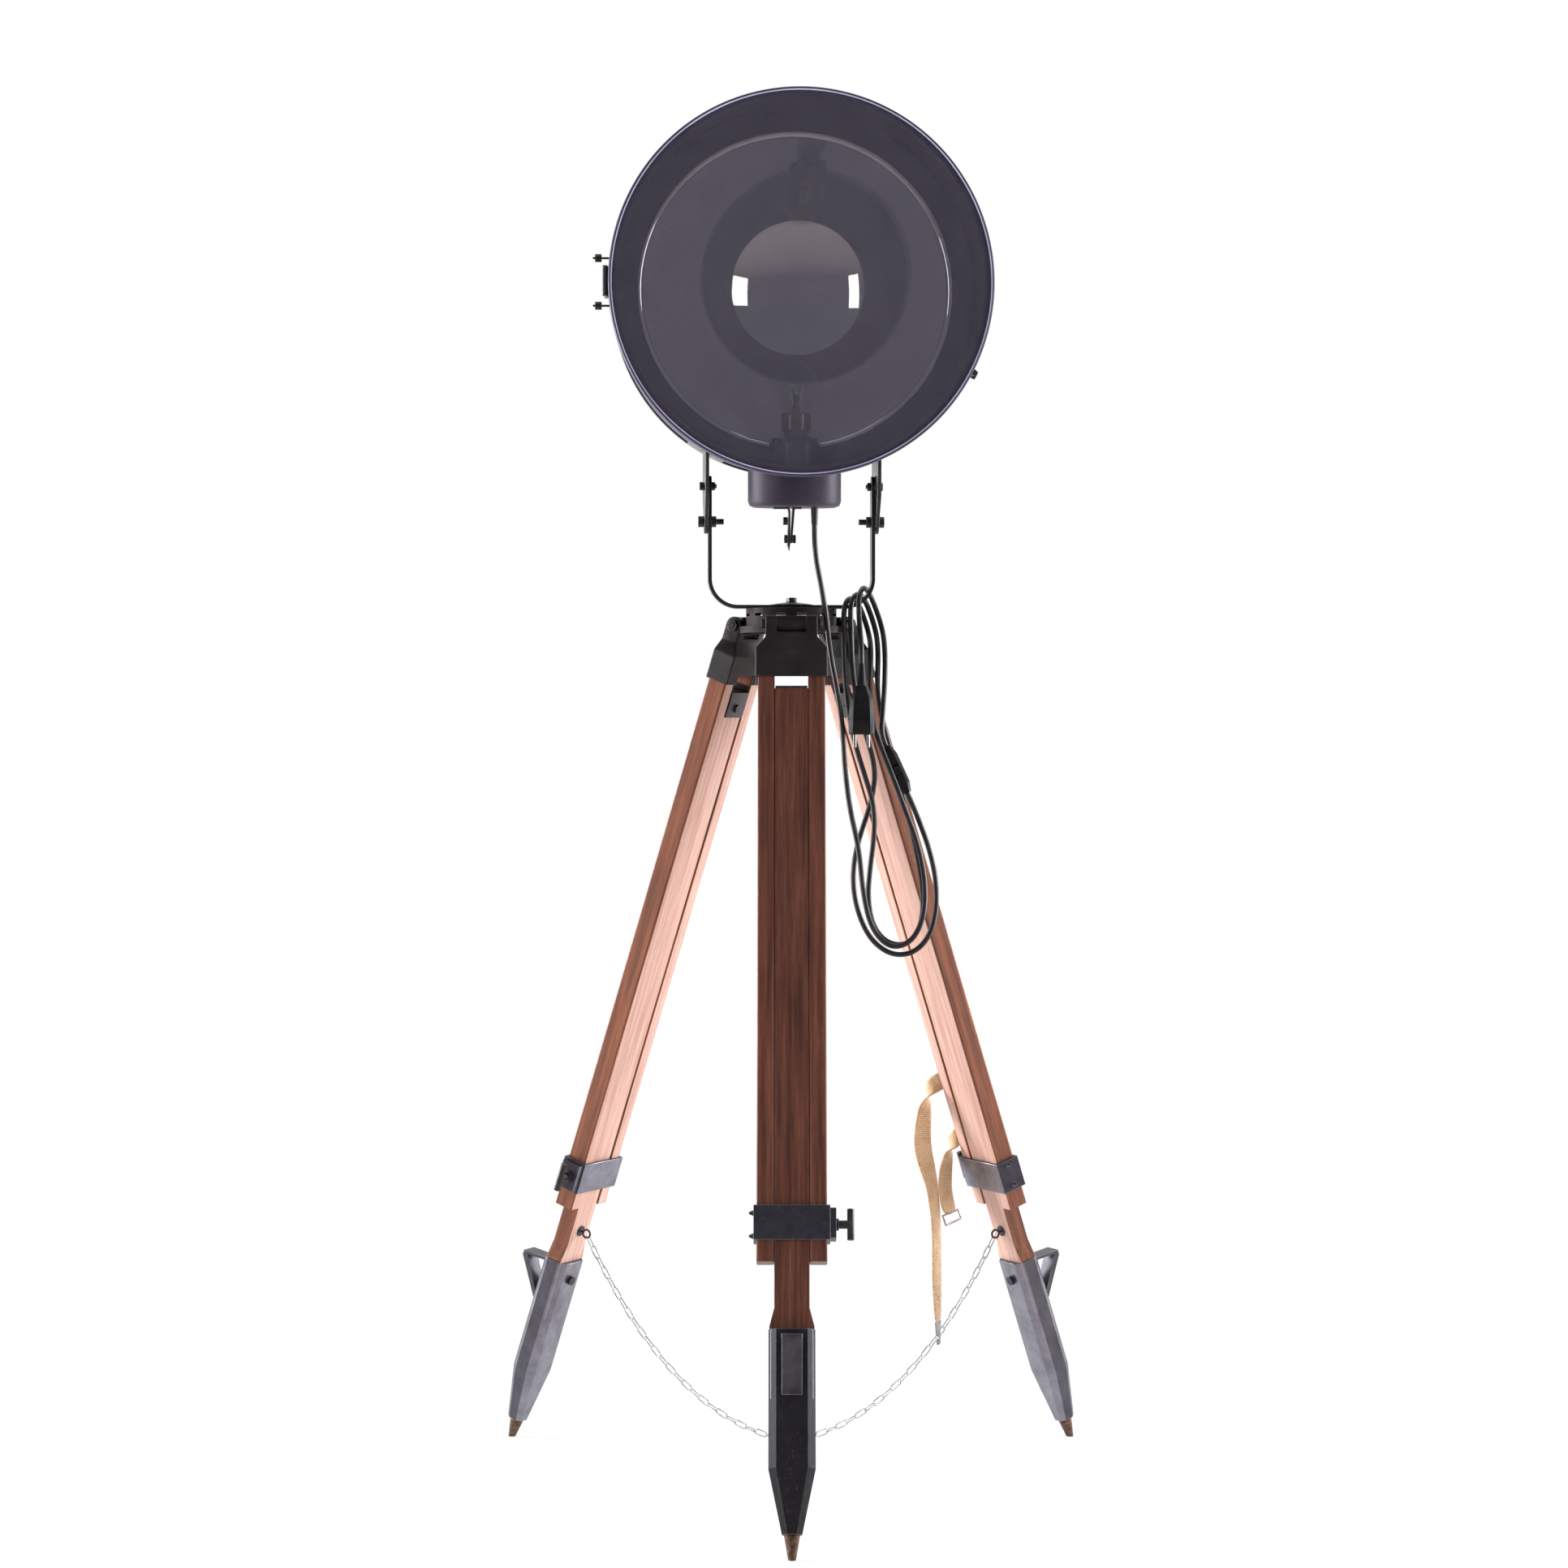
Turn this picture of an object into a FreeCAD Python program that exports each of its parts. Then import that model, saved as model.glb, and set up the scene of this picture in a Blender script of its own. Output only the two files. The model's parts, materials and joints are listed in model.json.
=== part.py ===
import FreeCAD
import Part
import math
import os
from FreeCAD import Placement, Rotation, Vector

# Tripod spotlight floor lamp, in millimetres. +Z is up and the origin lies on the floor
# under the middle of the tripod. The front leg points towards -Y.

# Tripod head and the stance of its legs
hinge_height = 1205.0
hinge_radius = 74.0
head_rise = 23.5
head_drop = 9.0
head_top = hinge_height + head_rise
head_bottom = hinge_height - head_drop
head_plate = 6.0
head_wall = 9.0
head_radius = 64.0
flange_radius = 73.0
flange_height = 9.0
leg_splay = 19.0
leg_azimuths = {"front": -90.0, "left": 150.0, "right": 30.0}
window_height = 4.0
window_width = 15.0
window_spacing = 30.0

# Leg hinges
pin_radius = 5.0
pin_offset = 6.5
barrel_radius = 12.0
barrel_width = 40.0
cheek_width = 16.0
side_clearance = 0.3
shaft_clearance = 0.05

# Wooden legs: stations along a leg are measured from its pin or from its tip
casting_width = 100.0
casting_depth = 37.0
casting_length = 81.0
casting_shoulder = 39.0
casting_neck = 23.0
pocket_depth = 34.0
notch_height = 14.0
rails_width = 93.0
rail_thickness = 23.0
rail_depth = 30.0
rail_end = 380.0
slide_depth = 26.0
slide_top_gap = 15.5
edge_break = 1.5

# Clamp round the rails and its T-handled screw
band_centre = 431.0
band_height = 46.0
band_wall = 4.0
lug_thickness = 8.0
lug_height = 40.0
screw_radius = 5.5
handle_reach = 19.0
handle_length = 41.0
handle_radius = 4.6

# Foot of each leg: wood flare, steel shoe, spike and step
shoe_top = 292.0
shoe_width = 61.0
shoe_depth = 40.0
shoe_chamfer = 10.0
shoe_straight = 178.0
shoe_end_width = 26.0
shoe_wall = 3.0
shoe_pocket = 90.0
flare_length = 24.0
spike_start = 31.0
spike_radius = 10.5
spike_tip_radius = 4.5
step_drop = 8.0
step_height = 66.0
step_reach = 43.0
step_width = 27.0
step_thickness = 4.0
shoe_bolt_drop = 28.0
shoe_bolt_radius = 7.0

# Stay chains: one per leg, a half catenary from the middle ring to the leg's eyelet
chain_links = 26
link_pitch = 17.2
link_length = 22.0
link_width = 9.0
link_wire = 2.0
ring_radius = 9.0
ring_wire = 2.5
eyelet_radius = 6.0
eyelet_wire = 3.0
eyelet_across = -24.82
eyelet_station = 340.35

# Yoke, turned a little on the tripod head
pan_angle = 4.0
yoke_width = 236.0
yoke_strap = 25.0
yoke_thickness = 5.0
yoke_corner = 42.0
yoke_rise = 122.5
yoke_end = 14.5
pan_bolt_radius = 4.0
dish_radius = 30.0
dish_height = 4.0
tilt_height = head_top + yoke_rise
tilt_bolt_radius = 4.0
tilt_stud_length = 17.0
lock_radius = 50.0
lock_bolt_radius = 3.0
slot_half_angle = 38.0
hex_ratio = 1.7

# Lamp head: its frame has the optical axis level, then it is tipped down on its pivots
tilt_angle = 1.8
drum_rise = 68.0
drum_radius = 250.0
drum_wall = 2.0
drum_front = -187.5
drum_back = 60.0
dome_depth = 58.0
dome_knuckle = 26.0
skirt = 16.0
fit_gap = 0.05
weld_gap = 0.02
bezel_overhang = 12.0
bezel_radius = drum_radius + bezel_overhang
bezel_depth = 20.0
bezel_front = -197.0
bezel_lip = 9.0
glass_thickness = 3.0
mirror_focus = 85.0
seat_width = 32.0
mirror_radius = drum_radius - seat_width
mirror_rim = -75.0
mirror_thickness = 2.0
bracket_thickness = 5.0
bracket_gap = 0.4
bracket_eye = 17.0
saddle_thickness = 3.0
saddle_length = 120.0

# Socket housing under the drum, with the lamp that stands in it
housing_radius = 65.0
housing_wall = 2.0
housing_centre = -60.0
housing_bottom = 18.5
housing_rounding = 8.0
bulb_y = -88.0
bulb_centre = 192.0
bulb_radius = 30.0
bulb_neck = 17.0
glass_length = 78.0
cap_radius = 13.2
cap_length = 26.0
socket_radius = 21.0
socket_height = 34.0
pedestal_radius = 30.0

# Front hinge, studs and catch on the bezel
hinge_barrel_radius = 3.6
hinge_barrel_length = 41.0
leaf_reach = 36.0
stud_radius = 1.5
stud_spacing = 32.0
stud_reach = 22.0
stud_nut_radius = 5.5
latch_angle = -27.0

# Mains cord, its inline switch and its plug
cord_diameter = 7.5
cord_sides = 8
cord_start_gap = 0.2
relief_length = 24.0
gland_x = 27.0
gland_y = -76.0
plug_width = 36.0
plug_depth = 24.0
plug_length = 99.0
plug_pin_radius = 2.4
plug_pin_length = 19.0
pin_root_radius = 1.9
pin_root_length = 0.6
pin_tip_break = 1.4
plug_pin_spacing = 19.0
switch_width = 20.0
switch_depth = 16.0
rocker_radius = 7.4
rocker_width = 8.0
rocker_depth = 3.5
rocker_throw = 14.0

# Webbing strap tied to the right leg
strap_width = 26.0
strap_thickness = 2.0
buckle_wire = 3.0
buckle_height = 14.0
tag_length = 34.0

os.makedirs("parts", exist_ok=True)


def save(name, solids):
    shape = solids[0] if len(solids) == 1 else Part.makeCompound(solids)
    shape.exportStep("parts/" + name + ".step")


def block(low, high):
    size = [b - a for a, b in zip(low, high)]
    return Part.makeBox(size[0], size[1], size[2], Vector(*low))


def rod(start, direction, radius, length):
    return Part.makeCylinder(radius, length, Vector(*start), Vector(*direction))


def extrude(points, path):
    """A closed outline of straight edges, pushed along a vector."""
    wire = Part.makePolygon([Vector(*p) for p in points] + [Vector(*points[0])])
    return Part.Face(wire).extrude(Vector(*path))


def hexagon(start, direction, flats, thickness):
    """A hexagon head or nut whose back lies at start and that grows along direction."""
    points = []
    for i in range(6):
        turn = math.radians(60 * i)
        points.append(Vector(math.cos(turn), math.sin(turn), 0) * (flats / math.sqrt(3)))
    face = Part.Face(Part.makePolygon(points + [points[0]]))
    nut = face.extrude(Vector(0, 0, thickness))
    nut.Placement = Placement(Vector(*start), Rotation(Vector(0, 0, 1), Vector(*direction)))
    return nut


def lathe(edges, centre, axis):
    """A closed outline turned a full turn about an axis."""
    face = Part.Face(Part.Wire(Part.__sortEdges__(edges)))
    return face.revolve(Vector(*centre), Vector(*axis), 360)


def segments(points):
    vectors = [Vector(*p) for p in points]
    return [Part.makeLine(a, b) for a, b in zip(vectors, vectors[1:])]


def turned(points, centre=(0, 0, 0), axis=(0, 0, 1)):
    return lathe(segments(points + [points[0]]), centre, axis)


# ---------------------------------------------------------------- leg frame
# In a leg's own frame +X is outward across the leg, +Y is along its hinge pin and
# +Z runs up the leg from its tip. The pin stands a little outside the leg's middle.

splay = math.radians(leg_splay)
pin_station = (hinge_height - pin_offset * math.sin(splay)) / math.cos(splay)
casting_bottom = pin_station - casting_length
slide_width = rails_width - 2 * rail_thickness - 2 * side_clearance
slide_top = casting_bottom - slide_top_gap


def stand(shape, azimuth):
    """Put a shape from the leg's own frame where that leg stands."""
    placed = shape.copy()
    placed.translate(Vector(-pin_offset, 0, -pin_station))
    placed.rotate(Vector(0, 0, 0), Vector(0, 1, 0), -leg_splay)
    placed.translate(Vector(hinge_radius, 0, hinge_height))
    placed.rotate(Vector(0, 0, 0), Vector(0, 0, 1), azimuth)
    return placed


def leg_place(across, station):
    """Reach and height of a point of the upright plane through a leg."""
    x = across - pin_offset
    z = station - pin_station
    reach = x * math.cos(splay) - z * math.sin(splay)
    height = x * math.sin(splay) + z * math.cos(splay)
    return hinge_radius + reach, hinge_height + height


def leg_head():
    """Cast head of a leg: a forked lug on the pin over a pocket for the rails."""
    half = casting_width / 2
    lug = barrel_width / 2 + side_clearance + cheek_width
    eye = barrel_radius + 0.5
    neck = pin_station - casting_neck
    shoulder = pin_station - casting_shoulder
    front = [(-half, casting_bottom), (half, casting_bottom), (half, shoulder), (lug, neck),
             (lug, pin_station + eye), (-lug, pin_station + eye), (-lug, neck), (-half, shoulder)]
    depth = casting_depth / 2
    plate = extrude([(-2 * depth, y, z) for y, z in front], (4 * depth, 0, 0))
    side = [(-depth, casting_bottom), (depth, casting_bottom), (depth, shoulder),
            (pin_offset + eye, neck), (pin_offset + eye, pin_station),
            (pin_offset - eye, pin_station), (pin_offset - eye, neck), (-depth, shoulder)]
    web = extrude([(x, -half, z) for x, z in side], (0, 2 * half, 0))
    web = web.fuse(rod((pin_offset, -half, pin_station), (0, 1, 0), eye, 2 * half))
    body = plate.common(web).removeSplitter()
    fork = barrel_width / 2 + side_clearance
    gap_depth = barrel_radius + 4
    body = body.cut(block((-2 * depth, -fork, pin_station - gap_depth),
                          (2 * depth, fork, pin_station + 2 * eye)))
    pocket = rails_width / 2
    body = body.cut(block((-rail_depth / 2, -pocket, casting_bottom - 1),
                          (rail_depth / 2, pocket, casting_bottom + pocket_depth)))
    # the inner side is notched between the rails, so the gap over the board shows light
    notch = slide_width / 2
    body = body.cut(block((-2 * depth, -notch, casting_bottom - 1),
                          (0, notch, casting_bottom + notch_height)))
    bore = rod((pin_offset, -half, pin_station), (0, 1, 0), pin_radius + shaft_clearance, 2 * half)
    return body.cut(bore)


def rails():
    """The two fixed wooden rails, with their long edges broken."""
    found = []
    for side in (-1, 1):
        outer = side * rails_width / 2
        inner = side * (rails_width / 2 - rail_thickness)
        low = (-rail_depth / 2, min(outer, inner), rail_end)
        high = (rail_depth / 2, max(outer, inner), casting_bottom + pocket_depth)
        rail = block(low, high)
        long_edges = [e for e in rail.Edges if e.Length > casting_bottom - rail_end]
        found.append(rail.makeChamfer(edge_break, long_edges))
    return found


def clamp_band():
    """Steel band round the rails, with the screw's lug and the rivets of its far side."""
    y = rails_width / 2
    x = rail_depth / 2
    low = band_centre - band_height / 2
    high = band_centre + band_height / 2
    band = block((-x - band_wall, -y - band_wall, low), (x + band_wall, y + band_wall, high))
    band = band.cut(block((-x, -y, low - 1), (x, y, high + 1)))
    outer = y + band_wall
    lug = block((-x, outer, band_centre - lug_height / 2),
                (x, outer + lug_thickness, band_centre + lug_height / 2))
    bore = rod((0, y - 1, band_centre), (0, 1, 0), screw_radius + shaft_clearance, outer)
    band = band.fuse(lug).removeSplitter().cut(bore)
    rivets = []
    for offset in (-band_height / 3, band_height / 3):
        rivets.append(Part.makeCone(4.0, 1.5, 6.0, Vector(0, -outer, band_centre + offset),
                                    Vector(0, -1, 0)))
    return [band] + rivets


def clamp_screw():
    """Thumb screw that presses on the rail: a stem, its collar and a T-bar."""
    start = rails_width / 2 + side_clearance
    face = rails_width / 2 + band_wall + lug_thickness
    stem = rod((0, start, band_centre), (0, 1, 0), screw_radius, face - start + handle_reach)
    collar = rod((0, face + side_clearance, band_centre), (0, 1, 0), screw_radius + 2.5, 3.0)
    bar_y = face + handle_reach
    bar = rod((0, bar_y, band_centre - handle_length / 2), (0, 0, 1), handle_radius, handle_length)
    return [stem.fuse([collar, bar]).removeSplitter()]


def slide():
    """Sliding board of a leg, which swells where it meets the shoe."""
    half = slide_width / 2
    wide = shoe_width / 2 - 1
    inside = shoe_width / 2 - shoe_wall
    flare_end = shoe_top + 4
    foot = shoe_top - shoe_pocket
    outline = [(-inside, foot), (inside, foot), (inside, shoe_top), (wide, shoe_top),
               (wide, flare_end), (half, flare_end + flare_length), (half, slide_top),
               (-half, slide_top), (-half, flare_end + flare_length), (-wide, flare_end),
               (-wide, shoe_top), (-inside, shoe_top)]
    depth = slide_depth / 2
    board = extrude([(-depth, y, z) for y, z in outline], (2 * depth, 0, 0))
    return [board]


def chamfered_section(width, depth, chamfer, height):
    x = depth / 2
    y = width / 2
    corners = [(-x, -y + chamfer), (-x + chamfer, -y), (x - chamfer, -y), (x, -y + chamfer),
               (x, y - chamfer), (x - chamfer, y), (-x + chamfer, y), (-x, y - chamfer)]
    points = [Vector(px, py, height) for px, py in corners]
    return Part.makePolygon(points + [points[0]])


def shoe():
    """Steel shoe: a chamfered box over the foot of the board, drawn to a narrow end."""
    cone_start = shoe_top - shoe_straight
    end_ratio = shoe_end_width / shoe_width
    top = chamfered_section(shoe_width, shoe_depth, shoe_chamfer, shoe_top)
    low = chamfered_section(shoe_width, shoe_depth, shoe_chamfer, cone_start)
    end = chamfered_section(shoe_end_width, shoe_end_width, shoe_chamfer * end_ratio * 1.6,
                            spike_start)
    body = Part.makeLoft([top, low], True, True).fuse(Part.makeLoft([low, end], True, True))
    body = body.removeSplitter()
    inside = shoe_width / 2 - shoe_wall
    depth = slide_depth / 2
    body = body.cut(block((-depth, -inside, shoe_top - shoe_pocket), (depth, inside, shoe_top + 1)))
    socket = rod((0, 0, spike_start - 1), (0, 0, 1), spike_radius * 0.6, 31.0)
    bolt = rod((-shoe_depth, 0, shoe_top - shoe_bolt_drop), (1, 0, 0), 4.0, shoe_depth)
    return [body.cut(socket).cut(bolt)]


def floor_room():
    """Everything under the floor, to level the worn ends of the spikes."""
    reach = hinge_height
    return block((-reach, -reach, -shoe_top), (reach, reach, 0))


def spike():
    """Steel point set in the shoe; the floor has worn its end flat."""
    shank = rod((0, 0, spike_start), (0, 0, 1), spike_radius * 0.6, 30.0)
    point = Part.makeCone(spike_tip_radius, spike_radius, spike_start + 4.0, Vector(0, 0, -4.0))
    return shank.fuse(point).removeSplitter()


def step():
    """Foot step on the outside of the shoe: one strip bent into a three-cornered loop."""
    face = shoe_depth / 2
    top = shoe_top - step_drop
    t = step_thickness
    outer = [(face, top), (face + step_reach, top - 5), (face + step_reach, top - 12),
             (face + t, top - step_height), (face + t, top - step_height - 12),
             (face, top - step_height - 12)]
    inner = [(face + t, top - t - 1), (face + step_reach - 8, top - t - 5),
             (face + t, top - step_height + 12)]
    half = step_width / 2
    strip = extrude([(x, -half, z) for x, z in outer], (0, step_width, 0))
    hole = extrude([(x, -half - 1, z) for x, z in inner], (0, step_width + 2, 0))
    return [strip.cut(hole)]


# ---------------------------------------------------------------- stay chains
# The chain hangs in the upright plane of its leg, level at the middle ring.

first_link = ring_radius - ring_wire / 2 - 0.6 + link_length / 2 - link_wire
last_end = first_link + (chain_links - 1) * link_pitch + link_length / 2 - link_wire / 2
chain_run = last_end + eyelet_radius - eyelet_wire / 2 - link_wire / 2 - 0.4
eyelet_reach, eyelet_height = leg_place(eyelet_across, eyelet_station)


def half_catenary(run, reach):
    """The size of a half catenary whose curve is that long and reaches that far across."""
    low = 1.0
    high = 100 * run
    for _ in range(60):
        size = (low + high) / 2
        if size * math.asinh(run / size) < reach:
            low = size
        else:
            high = size
    return low


chain_sag = half_catenary(chain_run, eyelet_reach)
chain_height = eyelet_height + chain_sag - math.hypot(chain_sag, chain_run)
print("chain: size %.2f mm, middle ring at %.2f mm" % (chain_sag, chain_height))


def chain_point(arc):
    radius = chain_sag * math.asinh(arc / chain_sag)
    height = chain_height + math.hypot(chain_sag, arc) - chain_sag
    slope = math.atan2(arc, chain_sag)
    return radius, height, slope


def link_shape():
    """One link, its length along X and flat in the XZ plane, with cropped corners."""
    def ring(length, width, crop):
        x = length / 2
        z = width / 2
        corners = [(-x, -z + crop), (-x + crop, -z), (x - crop, -z), (x, -z + crop),
                   (x, z - crop), (x - crop, z), (-x + crop, z), (-x, z - crop)]
        return extrude([(px, -link_wire / 2, pz) for px, pz in corners], (0, link_wire, 0))
    outer = ring(link_length, link_width, 3.0)
    inner = ring(link_length - 2 * link_wire, link_width - 2 * link_wire, 1.8)
    return outer.cut(inner)


def chain(azimuth):
    links = []
    plain = link_shape()
    for i in range(chain_links):
        radius, height, slope = chain_point(first_link + i * link_pitch)
        link = plain.copy()
        link.rotate(Vector(0, 0, 0), Vector(1, 0, 0), 90 * (i % 2))
        link.rotate(Vector(0, 0, 0), Vector(0, 1, 0), -math.degrees(slope))
        link.translate(Vector(radius, 0, height))
        link.rotate(Vector(0, 0, 0), Vector(0, 0, 1), azimuth)
        links.append(link)
    return links


def wire_ring(radius, wire, sides=8):
    """A ring of drawn wire, lying flat about the Z axis."""
    points = []
    for i in range(sides):
        turn = 2 * math.pi * (i + 0.5) / sides
        points.append((radius + wire / 2 * math.cos(turn), 0, wire / 2 * math.sin(turn)))
    return turned(points)


def chain_ring():
    ring = wire_ring(ring_radius, ring_wire)
    ring.translate(Vector(0, 0, chain_height))
    return [ring]


def leg_fittings():
    """Iron on the board: the cap of its top end, the chain's eyelet and the shoe's bolt."""
    depth = slide_depth / 2
    half = slide_width / 2 - 1
    cap = block((-depth - 3, -half, slide_top), (depth, half, slide_top + 3))
    cap = cap.fuse(block((-depth - 3, -half, slide_top - 34), (-depth, half, slide_top)))
    cap = cap.removeSplitter()
    screw = rod((-depth - 3, 0, slide_top - 20), (-1, 0, 0), 6.0, 3.5)
    # the eyelet's ring stands in the leg's plane and holds the outermost link
    x = eyelet_across
    z = eyelet_station
    ring = wire_ring(eyelet_radius, eyelet_wire)
    ring.Placement = Placement(Vector(x, 0, z), Rotation(Vector(1, 0, 0), 90))
    shank = rod((x + eyelet_radius, 0, z), (1, 0, 0), eyelet_wire / 2, -depth - x - eyelet_radius)
    plate = rod((-depth, 0, z), (-1, 0, 0), 8.0, 2.0)
    eyelet = ring.fuse([shank, plate]).removeSplitter()
    face = -shoe_depth / 2
    bolt_z = shoe_top - shoe_bolt_drop
    bolt = rod((face, 0, bolt_z), (-1, 0, 0), shoe_bolt_radius, 5.0)
    bolt = bolt.fuse(rod((face, 0, bolt_z), (1, 0, 0), 4.0, -face - slide_depth / 2)).removeSplitter()
    return [cap, screw, eyelet, bolt]


# ---------------------------------------------------------------- tripod head


def tripod_head():
    """Hollow cast crown with a barrel for each leg and slots through its wall."""
    crown = rod((0, 0, head_bottom), (0, 0, 1), head_radius, head_top - head_bottom)
    flange = rod((0, 0, head_bottom - 2), (0, 0, 1), flange_radius, flange_height)
    body = crown.fuse(flange)
    body = body.cut(rod((0, 0, head_bottom - 10), (0, 0, 1), head_radius - head_wall,
                        head_top - head_plate - head_bottom + 10))
    fork = barrel_width / 2
    clear = fork + 2 * side_clearance + cheek_width
    for azimuth in leg_azimuths.values():
        for side in (-1, 1):
            low = min(side * fork, side * (clear + 0.5))
            high = max(side * fork, side * (clear + 0.5))
            notch = block((hinge_radius - barrel_radius - 1.5, low, head_bottom - 10),
                          (flange_radius + 5, high, head_top - head_plate))
            notch.rotate(Vector(0, 0, 0), Vector(0, 0, 1), azimuth)
            body = body.cut(notch)
        lug = block((head_radius - head_wall / 2, -fork, hinge_height - barrel_radius),
                    (hinge_radius, fork, hinge_height + barrel_radius))
        lug = lug.fuse(rod((hinge_radius, -fork, hinge_height), (0, 1, 0), barrel_radius,
                           barrel_width))
        lug.rotate(Vector(0, 0, 0), Vector(0, 0, 1), azimuth)
        bore = rod((hinge_radius, -fork - 1, hinge_height), (0, 1, 0),
                   pin_radius + shaft_clearance, barrel_width + 2)
        bore.rotate(Vector(0, 0, 0), Vector(0, 0, 1), azimuth)
        body = body.fuse(lug).cut(bore)
        window_low = hinge_height + barrel_radius + 0.4
        for side in (-1, 1):
            middle = side * window_spacing / 2
            window = block((-flange_radius, middle - window_width / 2, window_low),
                           (flange_radius, middle + window_width / 2, window_low + window_height))
            window.rotate(Vector(0, 0, 0), Vector(0, 0, 1), azimuth)
            body = body.cut(window)
    body = body.cut(rod((0, 0, head_bottom), (0, 0, 1), pan_bolt_radius + shaft_clearance,
                        head_top))
    return [body.removeSplitter()]


def leg_pins():
    """Hinge pins, each with a head and a nut outside the leg's cheeks."""
    pins = []
    reach = barrel_width / 2 + side_clearance + cheek_width
    for azimuth in leg_azimuths.values():
        y = reach + side_clearance
        pin = rod((hinge_radius, -y - 5, hinge_height), (0, 1, 0), pin_radius, 2 * y + 12)
        head = rod((hinge_radius, -y - 5, hinge_height), (0, 1, 0), pin_radius + 3, 5)
        nut = hexagon((hinge_radius, y, hinge_height), (0, 1, 0), 16.0, 5.0)
        pin = pin.fuse([head, nut]).removeSplitter()
        pin.rotate(Vector(0, 0, 0), Vector(0, 0, 1), azimuth)
        pins.append(pin)
    return pins


# ---------------------------------------------------------------- yoke


def turn_pan(shape):
    """The yoke and all that it carries stand turned on the tripod head."""
    placed = shape.copy()
    placed.rotate(Vector(0, 0, 0), Vector(0, 0, 1), pan_angle)
    return placed


def yoke():
    """Flat strap bent into a U, drilled for the pan, tilt and lock bolts."""
    half = yoke_width / 2
    bottom = head_top
    top = tilt_height + lock_radius + yoke_end

    def bend(x, z, radius):
        k = radius * (1 - math.sqrt(0.5))
        right = Part.Arc(Vector(x, 0, z + radius), Vector(x - k, 0, z + k), Vector(x - radius, 0, z))
        left = Part.Arc(Vector(radius - x, 0, z), Vector(k - x, 0, z + k), Vector(-x, 0, z + radius))
        return right.toShape(), left.toShape()

    t = yoke_thickness
    outer_right, outer_left = bend(half, bottom, yoke_corner)
    inner_right, inner_left = bend(half - t, bottom + t, yoke_corner - t)
    inner_start = bottom + yoke_corner
    edges = [outer_right, outer_left, inner_right, inner_left]
    edges += segments([(yoke_corner - half, 0, bottom), (half - yoke_corner, 0, bottom)])
    edges += segments([(yoke_corner - half, 0, bottom + t), (half - yoke_corner, 0, bottom + t)])
    for side in (-1, 1):
        edges += segments([(side * half, 0, inner_start), (side * half, 0, top),
                           (side * (half - t), 0, top), (side * (half - t), 0, inner_start)])
    face = Part.Face(Part.Wire(Part.__sortEdges__(edges)))
    strap = face.extrude(Vector(0, yoke_strap, 0))
    strap.translate(Vector(0, -yoke_strap / 2, 0))
    crop = yoke_strap / 2
    ends = rod((-half - 1, 0, top - crop), (1, 0, 0), crop, yoke_width + 2)
    ends = ends.fuse(block((-half - 1, -crop, bottom - 1), (half + 1, crop, top - crop)))
    strap = strap.common(ends)
    strap = strap.cut(rod((0, 0, bottom - 1), (0, 0, 1), pan_bolt_radius + shaft_clearance, t + 2))
    for height, radius in ((tilt_height, tilt_bolt_radius),
                           (tilt_height + lock_radius, lock_bolt_radius)):
        strap = strap.cut(rod((-half - 1, 0, height), (1, 0, 0), radius + shaft_clearance,
                              yoke_width + 2))
    return [strap.removeSplitter()]


def pan_bolt():
    """Pan bolt with the dished washer under its head and its nut inside the crown."""
    bottom = head_top + yoke_thickness
    inner = pan_bolt_radius + shaft_clearance
    washer = turned([(inner, 0, bottom), (dish_radius, 0, bottom), (dish_radius, 0, bottom + 0.8),
                     (pan_bolt_radius * 2, 0, bottom + dish_height), (inner, 0, bottom + dish_height)])
    nut_top = head_top - head_plate
    bolt = rod((0, 0, nut_top - 8), (0, 0, 1), pan_bolt_radius, bottom + dish_height - nut_top + 8)
    head = hexagon((0, 0, bottom + dish_height), (0, 0, 1), 13.0, 6.5)
    nut = hexagon((0, 0, nut_top), (0, 0, -1), 13.0, 6.5)
    return [bolt.fuse([head, nut]).removeSplitter(), washer]


def side_bolts(height, radius, stud, length):
    """The bolts of one height in both yoke arms: head outside, nut and stud end inside."""
    found = []
    arm = yoke_width / 2
    outside = arm + bracket_gap + bracket_thickness + side_clearance
    inside = arm - yoke_thickness - side_clearance
    flats = radius * 2 * hex_ratio
    for side in (-1, 1):
        x = side * outside
        shank = rod((side * (inside - stud), 0, height), (side, 0, 0), radius,
                    outside - inside + stud)
        head = hexagon((x, 0, height), (side, 0, 0), flats, length)
        nut = hexagon((side * inside, 0, height), (-side, 0, 0), flats, length * 0.8)
        found.append(shank.fuse([head, nut]).removeSplitter())
    return found


# ---------------------------------------------------------------- lamp head
# The head's frame: pivots on the X axis through (0, 0, tilt_height), lamp facing -Y.

axis_height = tilt_height + drum_radius + drum_rise


def tip_head(shape):
    """Tip the head down on its pivots, then turn it with the yoke."""
    placed = shape.copy()
    placed.rotate(Vector(0, 0, tilt_height), Vector(1, 0, 0), tilt_angle)
    placed.rotate(Vector(0, 0, 0), Vector(0, 0, 1), pan_angle)
    return placed


def round_y(points):
    """Turn (radius, y) points about the optical axis."""
    ring = [(r, y, axis_height) for r, y in points]
    return turned(ring, (0, 0, axis_height), (0, 1, 0))


def drum_room():
    """The drum's outside with a hair of room, to trim what stands on it."""
    length = drum_back - drum_front
    return rod((0, drum_front - length, axis_height), (0, 1, 0), drum_radius + weld_gap, 3 * length)


def stem_way():
    """Room for the lamp's stem through the drum, the mirror's seat and the mirror's rim."""
    top = bulb_centre + bulb_radius - glass_length - socket_height + 5
    return rod((0, bulb_y, tilt_height), (0, 0, 1), pedestal_radius + 1, top)


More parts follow.
